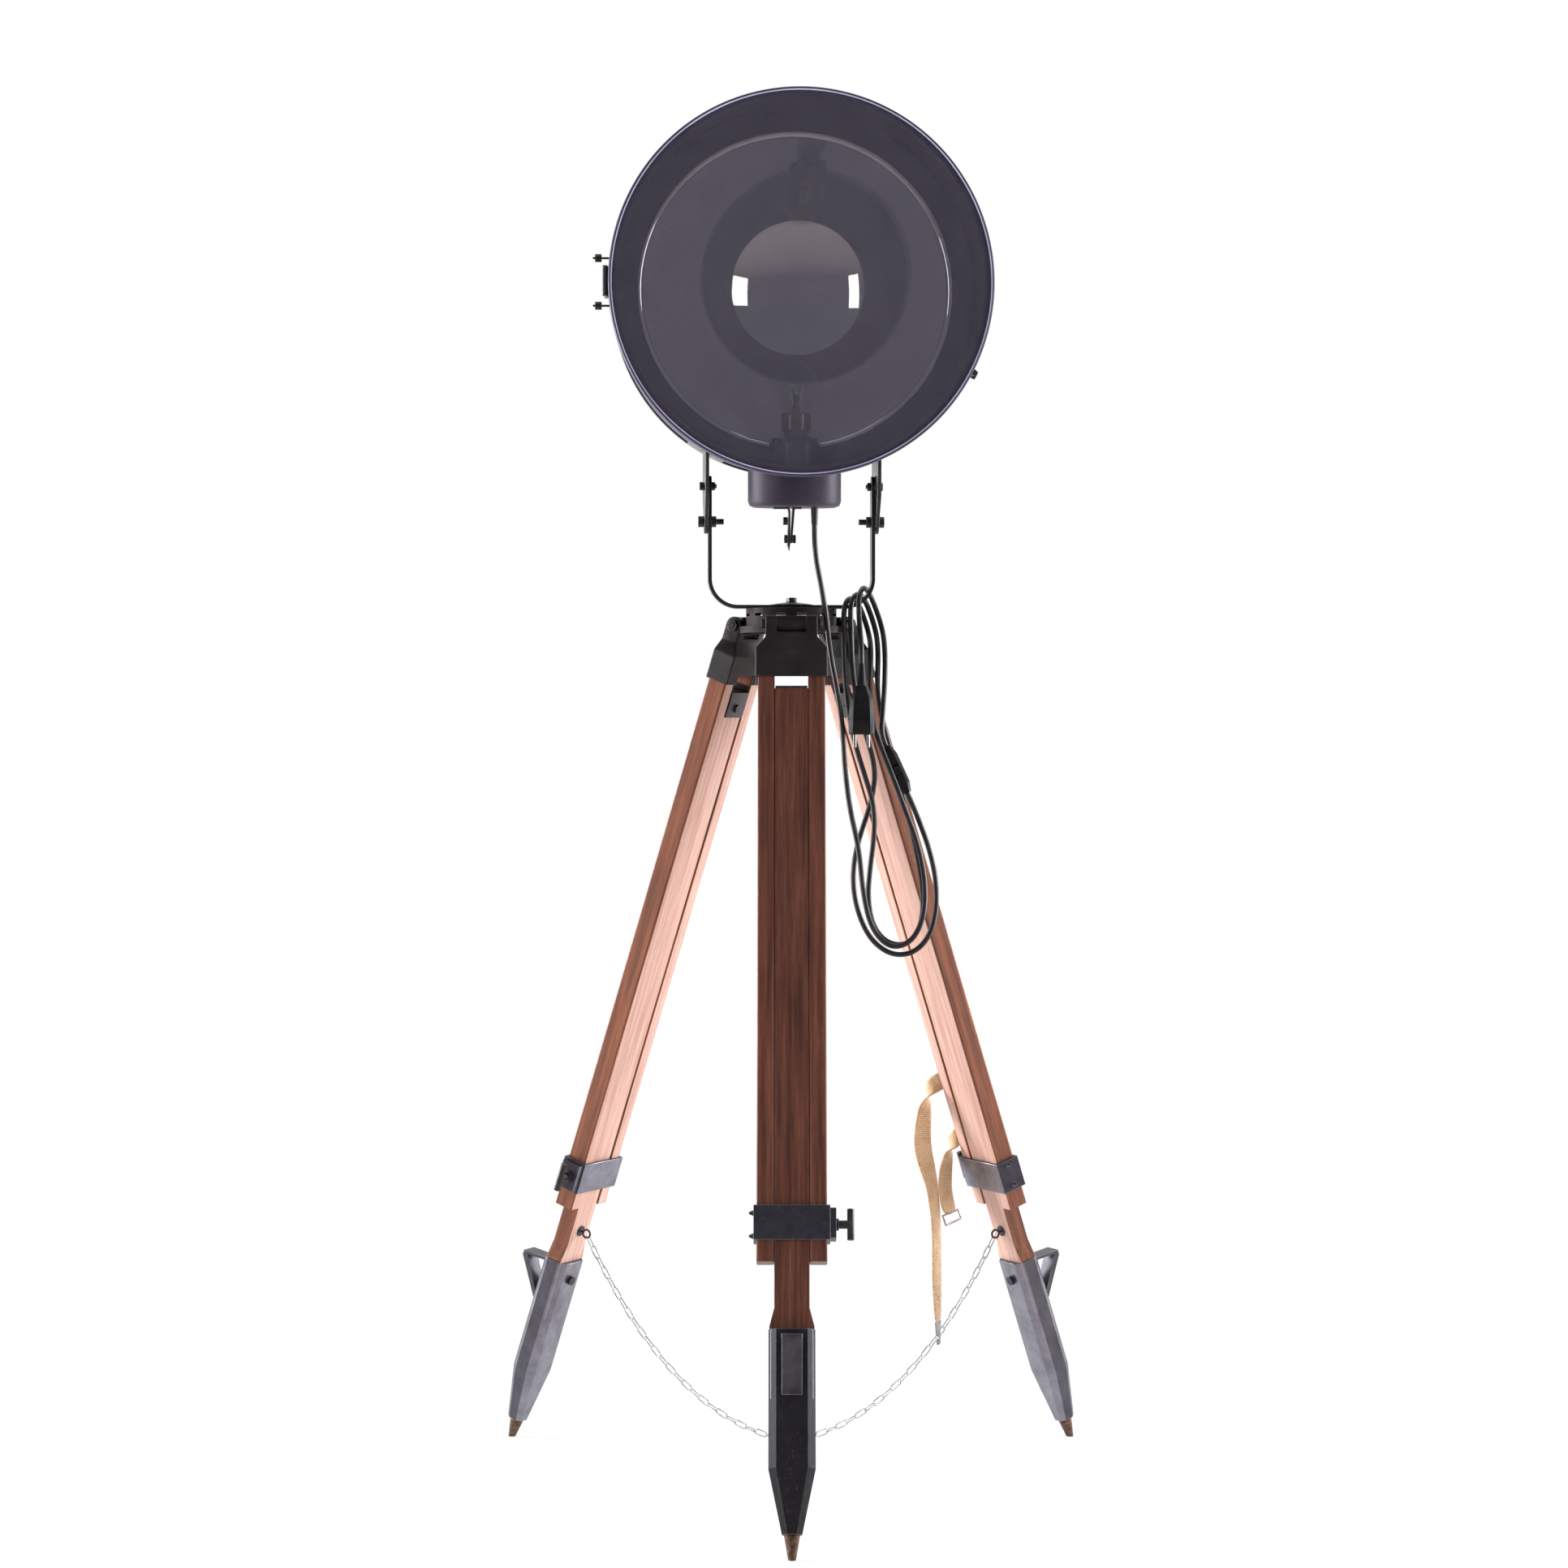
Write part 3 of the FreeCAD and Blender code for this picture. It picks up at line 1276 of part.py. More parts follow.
save("tripod_head", tripod_head())
save("leg_pins", leg_pins())
save("chain_ring", chain_ring())
save("pan_bolt", [turn_pan(s) for s in pan_bolt()])
save("yoke", [turn_pan(s) for s in yoke()])
save("tilt_bolts", [turn_pan(s) for s in side_bolts(tilt_height, tilt_bolt_radius,
                                                    tilt_stud_length, 8.0)])
save("lock_bolts", [turn_pan(s) for s in side_bolts(tilt_height + lock_radius, lock_bolt_radius,
                                                    7.0, 6.0)])
head_parts = {
    "drum": drum() + [mirror_seat()],
    "rear_cover": rear_cover(),
    "bezel_ring": bezel_ring(),
    "front_glass": front_glass(),
    "mirror": mirror(),
    "head_brackets": head_brackets(),
    "socket_housing": socket_housing(),
    "bulb_pedestal": bulb_pedestal(),
    "lamp_socket": lamp_socket(),
    "bulb_glass": bulb_glass(),
    "bulb_cap": bulb_cap(),
    "cord_gland": cord_gland(),
    "clamp_hook": clamp_hook(),
    "bezel_hinge": bezel_hinge(),
    "bezel_studs": bezel_studs(),
    "bezel_latch": bezel_latch(),
}
for name, solids in head_parts.items():
    save(name, [tip_head(s) for s in solids])

lamp_tube, lamp_path = cord_tube("lamp cord", lamp_cord_route)
plug_tube, plug_path = cord_tube("plug cord", plug_cord_route)
print("least gap of the cord to itself %.1f mm" % least_gap([lamp_path, plug_path]))
save("mains_cord", [lamp_tube, plug_tube])
save("plug_body", plug_body())
save("plug_pins", plug_pins())
save("switch_body", switch_body())
save("switch_rocker", switch_rocker())
save("strap", [stand(s, leg_azimuths["right"]) for s in strap()])
save("strap_metal", [stand(s, leg_azimuths["right"]) for s in strap_metal()])
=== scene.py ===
import bpy
import bmesh
import json
import math
from mathutils import Euler, Matrix, Vector


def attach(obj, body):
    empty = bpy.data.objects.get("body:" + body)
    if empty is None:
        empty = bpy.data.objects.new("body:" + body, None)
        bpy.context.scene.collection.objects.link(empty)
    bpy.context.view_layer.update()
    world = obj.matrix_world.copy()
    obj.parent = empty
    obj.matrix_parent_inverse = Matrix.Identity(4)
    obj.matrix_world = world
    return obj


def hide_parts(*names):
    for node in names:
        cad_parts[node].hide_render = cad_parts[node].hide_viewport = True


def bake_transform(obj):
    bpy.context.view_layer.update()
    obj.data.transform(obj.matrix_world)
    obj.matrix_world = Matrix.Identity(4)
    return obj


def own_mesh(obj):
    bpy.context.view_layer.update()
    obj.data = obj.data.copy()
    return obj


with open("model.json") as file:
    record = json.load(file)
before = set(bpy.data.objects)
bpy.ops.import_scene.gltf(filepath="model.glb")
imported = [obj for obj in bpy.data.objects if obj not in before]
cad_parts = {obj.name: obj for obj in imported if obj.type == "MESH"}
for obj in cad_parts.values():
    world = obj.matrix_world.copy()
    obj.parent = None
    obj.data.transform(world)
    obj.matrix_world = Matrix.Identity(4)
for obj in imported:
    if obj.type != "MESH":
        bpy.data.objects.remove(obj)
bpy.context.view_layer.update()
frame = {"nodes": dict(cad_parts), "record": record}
nodes = frame["nodes"]
record = frame["record"]
bodyOf = {node: body for body, members in record["behaviour"]["bodies"].items() for node in members}
slotOf = {entry["node"]: entry["material_slot"] for entry in record["subparts"]}
millimetre = 0.001
sharpAngle = math.radians(32)   # edges that turn further than this stay crisp

legs = {"front": -90.0, "left": 150.0, "right": 30.0}   # azimuth of each leg in degrees
# degrees and metres
legStance = {"splay": 19.0, "hingeRadius": 0.074, "hingeHeight": 1.205, "pinOffset": 0.0065}
headStance = {"pan": 4.0, "tilt": 1.8, "pivotHeight": 1.351, "axisRise": 0.318}
axisHeight = headStance["pivotHeight"] + headStance["axisRise"]   # of the drum's axis while it is level

print("scene: frame loaded,", len(nodes), "nodes")


# small tools

def linearColour(hexText, alpha=1.0):
    channels = [int(hexText[i:i + 2], 16) / 255 for i in (1, 3, 5)]
    return [c / 12.92 if c <= 0.04045 else ((c + 0.055) / 1.055) ** 2.4 for c in channels] + [alpha]


def addNode(tree, kind, values=None, links=None, **settings):
    made = tree.nodes.new(kind)
    for key, value in settings.items():
        setattr(made, key, value)
    for key, value in (values or {}).items():
        made.inputs[key].default_value = value
    for key, socket in (links or {}).items():
        tree.links.new(socket, made.inputs[key])
    return made


def startMaterial(name, **shaderValues):
    material = bpy.data.materials.new(name)
    material.use_nodes = True
    tree = material.node_tree
    tree.nodes.clear()
    shader = addNode(tree, "ShaderNodeBsdfPrincipled", shaderValues)
    addNode(tree, "ShaderNodeOutputMaterial", links={"Surface": shader.outputs["BSDF"]})
    place = addNode(tree, "ShaderNodeTexCoord").outputs["Object"]
    return material, tree, shader, place


def colourBand(tree, factor, stops):
    ramp = addNode(tree, "ShaderNodeValToRGB", links={"Fac": factor})
    while len(ramp.color_ramp.elements) < len(stops):
        ramp.color_ramp.elements.new(0.5)
    for element, (position, colour) in zip(ramp.color_ramp.elements, stops):
        element.position = position
        element.color = linearColour(colour) if isinstance(colour, str) else (colour, colour, colour, 1)
    return ramp.outputs["Color"]


def layerColour(tree, factor, below, above, mode="MIX"):
    mixed = addNode(tree, "ShaderNodeMix", data_type="RGBA", blend_type=mode)
    sockets = {"Factor": factor, 6: below, 7: above}
    for key, value in sockets.items():
        target = mixed.inputs[key]
        if hasattr(value, "node"):
            tree.links.new(value, target)
        else:
            target.default_value = value
    return mixed.outputs[2]


def grain(tree, place, size, detail=4.0, roughness=0.5, stretch=(1, 1, 1)):
    vector = place
    if stretch != (1, 1, 1):
        vector = addNode(tree, "ShaderNodeMapping", {"Scale": stretch}, {"Vector": place}).outputs["Vector"]
    noise = addNode(tree, "ShaderNodeTexNoise",
                    {"Scale": 1 / size, "Detail": detail, "Roughness": roughness}, {"Vector": vector})
    return noise.outputs["Fac"]


def emboss(tree, shader, height, depth, strength=1.0):
    bump = addNode(tree, "ShaderNodeBump", {"Distance": depth, "Strength": strength}, {"Height": height})
    tree.links.new(bump.outputs["Normal"], shader.inputs["Normal"])


def edgeMask(tree, radius, breakUp, low=0.02, high=0.12):
    # how far the rounded normal leans away from the true one: 1 on a worn edge, 0 on a flat
    rounded = addNode(tree, "ShaderNodeBevel", {"Radius": radius}, samples=4).outputs["Normal"]
    true = addNode(tree, "ShaderNodeNewGeometry").outputs["Normal"]
    lean = addNode(tree, "ShaderNodeVectorMath", links={0: rounded, 1: true}, operation="DOT_PRODUCT")
    away = addNode(tree, "ShaderNodeMath", {0: 1.0}, {1: lean.outputs["Value"]}, operation="SUBTRACT")
    broken = addNode(tree, "ShaderNodeMath", links={0: away.outputs[0], 1: breakUp}, operation="MULTIPLY")
    reach = addNode(tree, "ShaderNodeMapRange", {"From Min": low, "From Max": high},
                    {"Value": broken.outputs[0]})
    return reach.outputs["Result"]


def headMatrix():   # from the lamp head's own frame, with its axis level, to the scene
    tip = Matrix.Rotation(math.radians(headStance["tilt"]), 4, "X")
    turn = Matrix.Rotation(math.radians(headStance["pan"]), 4, "Z")
    pivot = Matrix.Translation((0, 0, headStance["pivotHeight"]))
    return turn @ pivot @ tip @ pivot.inverted()


def headPlace(x, y, z):   # a point of the lamp head in mm
    return headMatrix() @ (Vector((x, y, z)) * millimetre)


def legMatrix(azimuth):   # from a leg's own frame, in metres from its tip, to the scene
    splay = math.radians(legStance["splay"])
    station = (legStance["hingeHeight"] - legStance["pinOffset"] * math.sin(splay)) / math.cos(splay)
    return (Matrix.Rotation(math.radians(azimuth), 4, "Z")
            @ Matrix.Translation((legStance["hingeRadius"], 0, legStance["hingeHeight"]))
            @ Matrix.Rotation(-splay, 4, "Y") @ Matrix.Translation((-legStance["pinOffset"], 0, -station)))


def meshFrom(name, shape, smooth=True):   # a bmesh becomes a mesh and is freed
    for face in shape.faces:
        face.smooth = smooth
    mesh = bpy.data.meshes.new(name)
    shape.to_mesh(mesh)
    shape.free()
    return mesh


def meshFromCurve(line):   # the mesh that a curve draws; the curve itself goes
    bpy.context.scene.collection.objects.link(line)
    mesh = bpy.data.meshes.new_from_object(line.evaluated_get(bpy.context.evaluated_depsgraph_get()))
    bpy.data.objects.remove(line)
    mesh.materials.clear()
    for face in mesh.polygons:
        face.use_smooth = True
    return mesh


def meshPiece(name, mesh, material):   # an object at the origin that carries the mesh
    mesh.materials.append(material)
    piece = bpy.data.objects.new(name, mesh)
    bpy.context.scene.collection.objects.link(piece)
    return piece


def finishPiece(name, shape, material, body, slot, *replaced):   # a bmesh becomes a piece on its body
    bmesh.ops.recalc_face_normals(shape, faces=shape.faces)
    mesh = meshFrom(name, shape)
    mesh.set_sharp_from_angle(angle=sharpAngle)
    piece = meshPiece(name, mesh, material)
    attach(piece, body)
    if replaced:
        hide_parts(*replaced)
    return piece


def turnOutline(shape, outline, axis, steps, closed=True):
    # (radius, along) points in mm are spun about the Y or Z axis
    points = []
    for radius, along in outline:
        place = (radius, along, 0) if axis == "Y" else (radius, 0, along)
        points.append(shape.verts.new(Vector(place) * millimetre))
    following = points[1:] + points[:1] if closed else points[1:]
    edges = [shape.edges.new(pair) for pair in zip(points, following)]
    turnAxis = (0, 1, 0) if axis == "Y" else (0, 0, 1)
    bmesh.ops.spin(shape, geom=points + edges, cent=(0, 0, 0), axis=turnAxis, angle=2 * math.pi, steps=steps,
                   use_merge=True)
    bmesh.ops.remove_doubles(shape, verts=shape.verts, dist=0.001 * millimetre)


# materials

def coat(tree, shader, colour, gloss=None):   # the shader's colour and, where it varies, its roughness
    tree.links.new(colour, shader.inputs["Base Color"])
    if gloss is not None:
        tree.links.new(gloss, shader.inputs["Roughness"])


def mottled(name, spot, detail, rough, stops, **shaderValues):   # a colour that drifts in spots, sized in mm
    material, tree, shader, place = startMaterial(name, **shaderValues)
    coat(tree, shader, colourBand(tree, grain(tree, place, spot * millimetre, detail, rough), stops))
    return material


castPaint = {"colour": "#201b1e", "dusty": "#332c2d", "worn": "#5d524c", "sand": 1.4 * millimetre}


def sandCastIron(name, specular):
    # black paint brushed over sand-cast iron: pebbled, rubbed to brown metal on its edges
    material, tree, shader, place = startMaterial("sandCastIronBlackPaint_" + name)
    shader.inputs["Specular IOR Level"].default_value = specular
    patches = grain(tree, place, 35 * millimetre, 5)
    pebbles = grain(tree, place, castPaint["sand"], 3, 0.6)
    base = colourBand(tree, patches, [(0.35, castPaint["colour"]), (0.75, castPaint["dusty"])])
    worn = edgeMask(tree, 1.6 * millimetre, grain(tree, place, 9 * millimetre, 6, 0.7), 0.025, 0.09)
    coat(tree, shader, layerColour(tree, worn, base, linearColour(castPaint["worn"])),
         colourBand(tree, patches, [(0.3, 0.46), (0.8, 0.66)]))
    emboss(tree, shader, pebbles, 0.35 * millimetre, 0.5)
    return material


# the inner tones are pale: painted light on the faces turned towards the tripod's middle
wood = {"outer": ("#48271b", "#744030", "#915741"), "rear": ("#552f1b", "#824427", "#9b5b39"),
        "inner": ("#ab8071", "#c9a092", "#d8b6a8"), "dirt": "#3a2218", "ring": 7 * millimetre,
        "pore": 0.9 * millimetre, "blotch": 60 * millimetre, "dent": 26 * millimetre}


def varnishedHardwood(leg, azimuth, name, shade, varnish, tones):
    # red-brown varnish over ash, with the grain along the leg
    material, tree, shader, place = startMaterial("varnishedAsh_" + name + "_" + leg, Roughness=0.5)
    dark, middle, light = wood[tones]
    shader.inputs["Coat Weight"].default_value = varnish
    shader.inputs["Coat Roughness"].default_value = 0.2
    shader.inputs["Specular IOR Level"].default_value = 0.35
    splay = math.radians(legStance["splay"])
    along = Matrix.Rotation(splay, 3, "Y") @ Matrix.Rotation(-math.radians(azimuth), 3, "Z")
    turned = addNode(tree, "ShaderNodeMapping", {"Rotation": along.to_euler("XYZ")},
                     {"Vector": place}).outputs["Vector"]
    figure = grain(tree, turned, wood["ring"], 5, 0.55, (1, 1, 0.045))
    pores = grain(tree, turned, wood["pore"], 3, 0.6, (1, 1, 0.03))
    blotches = grain(tree, turned, wood["blotch"], 4, 0.6, (1, 1, 0.3))
    darkest = linearColour(dark)
    heart = colourBand(tree, figure, [(0.30, dark), (0.50, middle), (0.74, light)])
    streaked = layerColour(tree, colourBand(tree, pores, [(0.42, 0.35), (0.56, 0.0)]), heart, darkest)
    aged = layerColour(tree, colourBand(tree, blotches, [(0.40, 0.0), (0.78, 0.35)]), streaked, darkest)
    shaded = layerColour(tree, 1.0, aged, (shade, shade, shade, 1), "MULTIPLY")
    dirt = edgeMask(tree, 2.2 * millimetre, grain(tree, place, 14 * millimetre, 6, 0.7), 0.02, 0.10)
    coat(tree, shader, layerColour(tree, dirt, shaded, linearColour(wood["dirt"])))
    dents = grain(tree, turned, wood["dent"], 6, 0.62, (1, 1, 0.5))
    relief = addNode(tree, "ShaderNodeMath", links={0: pores, 1: dents}, operation="ADD")
    emboss(tree, shader, relief.outputs[0], 0.22 * millimetre, 0.35)
    return material


# the first, palest tones paint light on steel faces turned towards the tripod's middle
sheetSteel = {"litInward": ("#7d7b85", "#a19fab"), "black": ("#302e36", "#413e47"),
              # the darkest tones paint shade on the front shoe
              "scuffed": ("#4a4850", "#5f5d66"), "shadedFront": ("#1f1d22", "#2b292e"), "chip": "#b9b7bd",
              "brush": 2.4 * millimetre}


def workedSteel(name, metallic, tones, low=0.02, high=0.08):
    # folded sheet steel, blackened, or pale as painted light, brighter on its folds
    material, tree, shader, place = startMaterial("sheetSteel_" + name, Metallic=metallic)
    dark, light = sheetSteel[tones]
    chip = linearColour(sheetSteel["chip"])
    shader.inputs["Specular IOR Level"].default_value = 0.15
    patches = grain(tree, place, 28 * millimetre, 6, 0.65)
    scuffs = grain(tree, place, sheetSteel["brush"], 5, 0.7, (1, 1, 0.12))
    base = colourBand(tree, patches, [(0.32, dark), (0.72, light)])
    scratched = layerColour(tree, colourBand(tree, scuffs, [(0.60, 0.0), (0.72, 0.12)]), base, chip)
    worn = edgeMask(tree, 1.2 * millimetre, grain(tree, place, 7 * millimetre, 5, 0.7), low, high)
    coat(tree, shader, layerColour(tree, worn, scratched, chip),
         colourBand(tree, scuffs, [(0.3, 0.28), (0.75, 0.50)]))
    emboss(tree, shader, patches, 0.25 * millimetre, 0.25)
    return material


def groundSteel():   # turned steel point, brown with thin rust and dulled by the ground
    material, tree, shader, place = startMaterial("turnedSteelRustFilm", Metallic=0.75, Roughness=0.45)
    rust = grain(tree, place, 5 * millimetre, 6, 0.7)
    coat(tree, shader, colourBand(tree, rust, [(0.35, "#4a3226"), (0.55, "#6a5446"), (0.75, "#8f8279")]))
    emboss(tree, shader, rust, 0.2 * millimetre, 0.6)
    return material


def zincSteel():   # zinc-plated fittings: pale and satin, with dark specks of age
    material, tree, shader, place = startMaterial("zincPlatedSteel", Metallic=1.0)
    specks = grain(tree, place, 2.2 * millimetre, 5, 0.65)
    clouds = grain(tree, place, 16 * millimetre, 4)
    clean = colourBand(tree, clouds, [(0.3, "#8d8b88"), (0.7, "#b9b7b4")])
    speckled = layerColour(tree, colourBand(tree, specks, [(0.58, 0.0), (0.7, 0.75)]), clean,
                           linearColour("#4d443c"))
    coat(tree, shader, speckled, colourBand(tree, specks, [(0.35, 0.24), (0.7, 0.5)]))
    emboss(tree, shader, specks, 0.08 * millimetre, 0.4)
    return material


def clouded(name, metallic, spot, rough, stops, paleEdge, edge, high, gloss):
    # clouded black on small steel: its corners are rubbed bright, and the gloss follows the clouds
    material, tree, shader, place = startMaterial(name, Metallic=metallic)
    clouds = grain(tree, place, spot * millimetre, 5, rough)
    worn = edgeMask(tree, edge * millimetre, clouds, 0.02, high)
    coat(tree, shader, layerColour(tree, worn, colourBand(tree, clouds, stops), linearColour(paleEdge)),
         colourBand(tree, clouds, gloss))
    return material


yokePaint = {"colour": "#151318", "faded": "#2a272d", "chip": "#6d675f", "orangePeel": 2.2 * millimetre}


def brushedEnamel():   # black enamel on bar steel: slight orange peel, chipped along the bar's edges
    material, tree, shader, place = startMaterial("blackEnamelBarSteel")
    patches = grain(tree, place, 30 * millimetre, 5)
    peel = grain(tree, place, yokePaint["orangePeel"], 2)
    base = colourBand(tree, patches, [(0.35, yokePaint["colour"]), (0.8, yokePaint["faded"])])
    worn = edgeMask(tree, 1.0 * millimetre, grain(tree, place, 6 * millimetre, 6, 0.75), 0.03, 0.10)
    coat(tree, shader, layerColour(tree, worn, base, linearColour(yokePaint["chip"])),
         colourBand(tree, patches, [(0.3, 0.22), (0.8, 0.42)]))
    emboss(tree, shader, peel, 0.05 * millimetre, 0.5)
    return material


drumPaint = {"colour": "#37323f", "deep": "#2d2935", "chalk": "#433e4c", "chip": "#6f6b7c"}


def drumEnamel(name, tint, specular):
    # charcoal stove enamel on rolled sheet: satin, faintly purple, with soft dents
    material, tree, shader, place = startMaterial("charcoalEnamel_" + name)
    shader.inputs["Specular IOR Level"].default_value = specular
    patches = grain(tree, place, 90 * millimetre, 6, 0.6)
    dents = grain(tree, place, 55 * millimetre, 2)
    base = colourBand(tree, patches, [(0.3, drumPaint["deep"]), (0.55, drumPaint["colour"]),
                                      (0.8, drumPaint["chalk"])])
    tinted = layerColour(tree, 1.0, base, (*tint, 1), "MULTIPLY")
    worn = edgeMask(tree, 0.9 * millimetre, grain(tree, place, 8 * millimetre, 6, 0.75), 0.035, 0.12)
    coat(tree, shader, layerColour(tree, worn, tinted, linearColour(drumPaint["chip"])),
         colourBand(tree, patches, [(0.3, 0.34), (0.8, 0.50)]))
    emboss(tree, shader, dents, 0.8 * millimetre, 0.2)
    return material


def windowGlass():   # flat front pane: clear, with a thin film of dust that lifts the darks behind it
    material, tree, shader, place = startMaterial("frontPaneGlass", Roughness=0.03, IOR=1.5)
    dust = grain(tree, place, 30 * millimetre, 6, 0.7)
    coat(tree, shader, colourBand(tree, dust, [(0.3, "#625e6d"), (0.8, "#716d7c")]))
    thickness = {"From Min": 0.3, "From Max": 0.8, "To Min": 0.22, "To Max": 0.28}
    film = addNode(tree, "ShaderNodeMapRange", thickness, {"Value": dust})
    tree.links.new(film.outputs["Result"], shader.inputs["Alpha"])
    return material


def blownGlass():   # thin blown bulb: nearly invisible face on, bright and solid at its rim
    material, tree, shader, _ = startMaterial("blownBulbGlass", Roughness=0.02, IOR=1.5)
    shader.inputs["Base Color"].default_value = linearColour("#8d8a94")
    rim = addNode(tree, "ShaderNodeLayerWeight", {"Blend": 0.3})
    spread = addNode(tree, "ShaderNodeMapRange", {"To Min": 0.02, "To Max": 0.32},
                     {"Value": rim.outputs["Facing"]})
    tree.links.new(spread.outputs["Result"], shader.inputs["Alpha"])
    return material


def mouldedPlastic():   # moulded rubbery plastic: fine spark-eroded grain, shinier where it is handled
    material, tree, shader, place = startMaterial("mouldedPlasticBlack", IOR=1.5)
    shader.inputs["Specular IOR Level"].default_value = 0.2
    spark = grain(tree, place, 0.8 * millimetre, 2)
    handled = grain(tree, place, 16 * millimetre, 4)
    coat(tree, shader, colourBand(tree, handled, [(0.35, "#141216"), (0.8, "#242127")]),
         colourBand(tree, handled, [(0.3, 0.42), (0.8, 0.6)]))
    emboss(tree, shader, spark, 0.04 * millimetre, 0.5)
    return material


webbingWeave = {"light": "#ecd0ac", "dark": "#c89d74", "stain": "#9c7350", "thread": 1.6 * millimetre}


def cottonWebbing():   # beige cotton webbing: a herringbone of threads drawn 1.6 mm apart so that it shows
    material, tree, shader, place = startMaterial("cottonWebbing", Roughness=0.85)
    shader.inputs["Sheen Weight"].default_value = 0.25
    strip = addNode(tree, "ShaderNodeUVMap", uv_map="band").outputs["UV"]
    across = addNode(tree, "ShaderNodeMapping", {"Rotation": (0, 0, math.radians(45))}, {"Vector": strip})
    threads = {"Scale": 0.16 / webbingWeave["thread"], "Distortion": 0.6}
    warp = addNode(tree, "ShaderNodeTexWave", threads, {"Vector": across.outputs["Vector"]})
    weft = addNode(tree, "ShaderNodeTexWave", threads, {"Vector": strip}, bands_direction="Y")
    woven = addNode(tree, "ShaderNodeMath", links={0: warp.outputs["Fac"], 1: weft.outputs["Fac"]},
                    operation="MULTIPLY").outputs[0]
    stain = grain(tree, place, 22 * millimetre, 5)
    base = colourBand(tree, woven, [(0.0, webbingWeave["dark"]), (0.6, webbingWeave["light"])])
    coat(tree, shader, layerColour(tree, colourBand(tree, stain, [(0.45, 0.0), (0.8, 0.5)]), base,
                                   linearColour(webbingWeave["stain"])))
    emboss(tree, shader, woven, 0.35 * millimetre, 0.8)
    return material


finishes = {
    "black_casting": sandCastIron("legs", 0.28),
    "dark_steel": workedSteel("blackened", 0.12, "black"),
    "worn_steel": groundSteel(),
    "bright_steel": zincSteel(),
    "black_paint": brushedEnamel(),
    "drum_paint": drumEnamel("drum", (1, 1, 1), 0.5),
    # silvered reflector under years of dust: it mirrors dimly, with a grey bloom over the darks
    "mirror": mottled("silveredReflector", 60, 3, 0.5, [(0.3, "#c6c3cd"), (0.75, "#d0cdd6")],
                      Metallic=0.78, Roughness=0.035),
    "clear_glass": windowGlass(),
    "bulb_glass": blownGlass(),
    # glazed porcelain of the lamp socket, yellowed, with crazing too fine to see
    "porcelain": mottled("glazedPorcelain", 12, 5, 0.5, [(0.35, "#4f4a4a"), (0.75, "#6b6461")],
                         Roughness=0.18, IOR=1.5),
    # brass screw cap, browned to grey
    "brass": mottled("agedBrass", 4, 5, 0.6, [(0.35, "#55504a"), (0.7, "#7c7466")],
                     Metallic=1.0, Roughness=0.32),
    # extruded PVC: soft sheen, slightly dusty
    "cord_sheath": mottled("pvcSheathBlack", 14, 4, 0.5, [(0.35, "#17151a"), (0.8, "#2b2830")],
                           Roughness=0.38, IOR=1.5),
    "black_plastic": mouldedPlastic(),
    "webbing": cottonWebbing()}
# tungsten filament and its molybdenum hooks: dull grey metal
wire = mottled("tungstenWire", 1, 4.0, 0.5, [(0.3, "#8f8b86"), (0.7, "#c4bfb8")], Metallic=1.0, Roughness=0.3)
# dark strips that stand in for the shade in the gaps between rails and board: painted shade, no shine at all
gapShade = mottled("gapShadeStrip", 3, 4.0, 0.5, [(0.3, "#1a1110"), (0.7, "#2a1b17")], Roughness=0.95)
ringPaint = drumEnamel("ring", (0.85, 0.80, 1.7), 0.5)
rimHighlightPaint = drumEnamel("paintedRimHighlight", (18, 20, 16), 0.5)   # the lip's edge, painted pale: a painted highlight
housingPaint = drumEnamel("housing", (1.15, 1.1, 1.05), 0.08)
crownPaint = sandCastIron("crown", 0.08)
# oil-blacked fasteners with bright corners where a spanner has been
boltFinish = clouded("blackenedSteelBolts", 0.8, 6, 0.6, [(0.35, "#2b2826"), (0.7, "#4f4a46")], "#a09a94",
                     0.7, 0.08, [(0.3, 0.28), (0.7, 0.5)])
# black japan on small forgings: nearly black face on, a grey sheen on what turns away
fittingFinish = clouded("blackJapanForgings", 0.3, 9, 0.6, [(0.35, "#242126"), (0.75, "#39353a")], "#837f85",
                        0.8, 0.09, [(0.3, 0.30), (0.75, 0.52)])
stepSteel = workedSteel("step", 0.6, "scuffed", 0.008, 0.04)
# pale steel for the faces turned towards the tripod's middle: painted light
inwardLitSteel = workedSteel("litInward", 1.0, "litInward")
rearShoeSteel = workedSteel("rearShoes", 0.5, "scuffed")
# the front shoe gets a darker, non-metal copy of the shoe steel: painted shade
shoeSteel = {"shoe_front": workedSteel("frontShoe", 0.0, "shadedFront"), "shoe_left": rearShoeSteel,
             "shoe_right": rearShoeSteel}
# bright-drawn zinc-plated wire: nearly white where it mirrors the studio
chainFinish = mottled("brightZincWire", 12, 4, 0.5, [(0.35, "#b7b6b9"), (0.7, "#d6d5d8")],
                      Metallic=1.0, Roughness=0.22)


def legWood(name, shade, varnish, tones):
    return {leg: varnishedHardwood(leg, azimuth, name, shade, varnish, tones[leg])
            for leg, azimuth in legs.items()}


outerTones = {"front": "outer", "left": "rear", "right": "rear"}   # the rear legs get a lighter, more orange copy of the same wood: painted light
railWood = legWood("rail", 1.0, 0.25, outerTones)
boardWood = legWood("board", 0.86, 0.25, outerTones)
# pale wood for the faces turned towards the tripod's middle: painted light
inwardLitWood = legWood("inner", 1.0, 0.15, dict.fromkeys(legs, "inner"))
print("scene: materials ready")


# CAD pieces: each gets its finish, and those in the list below get rounded edges

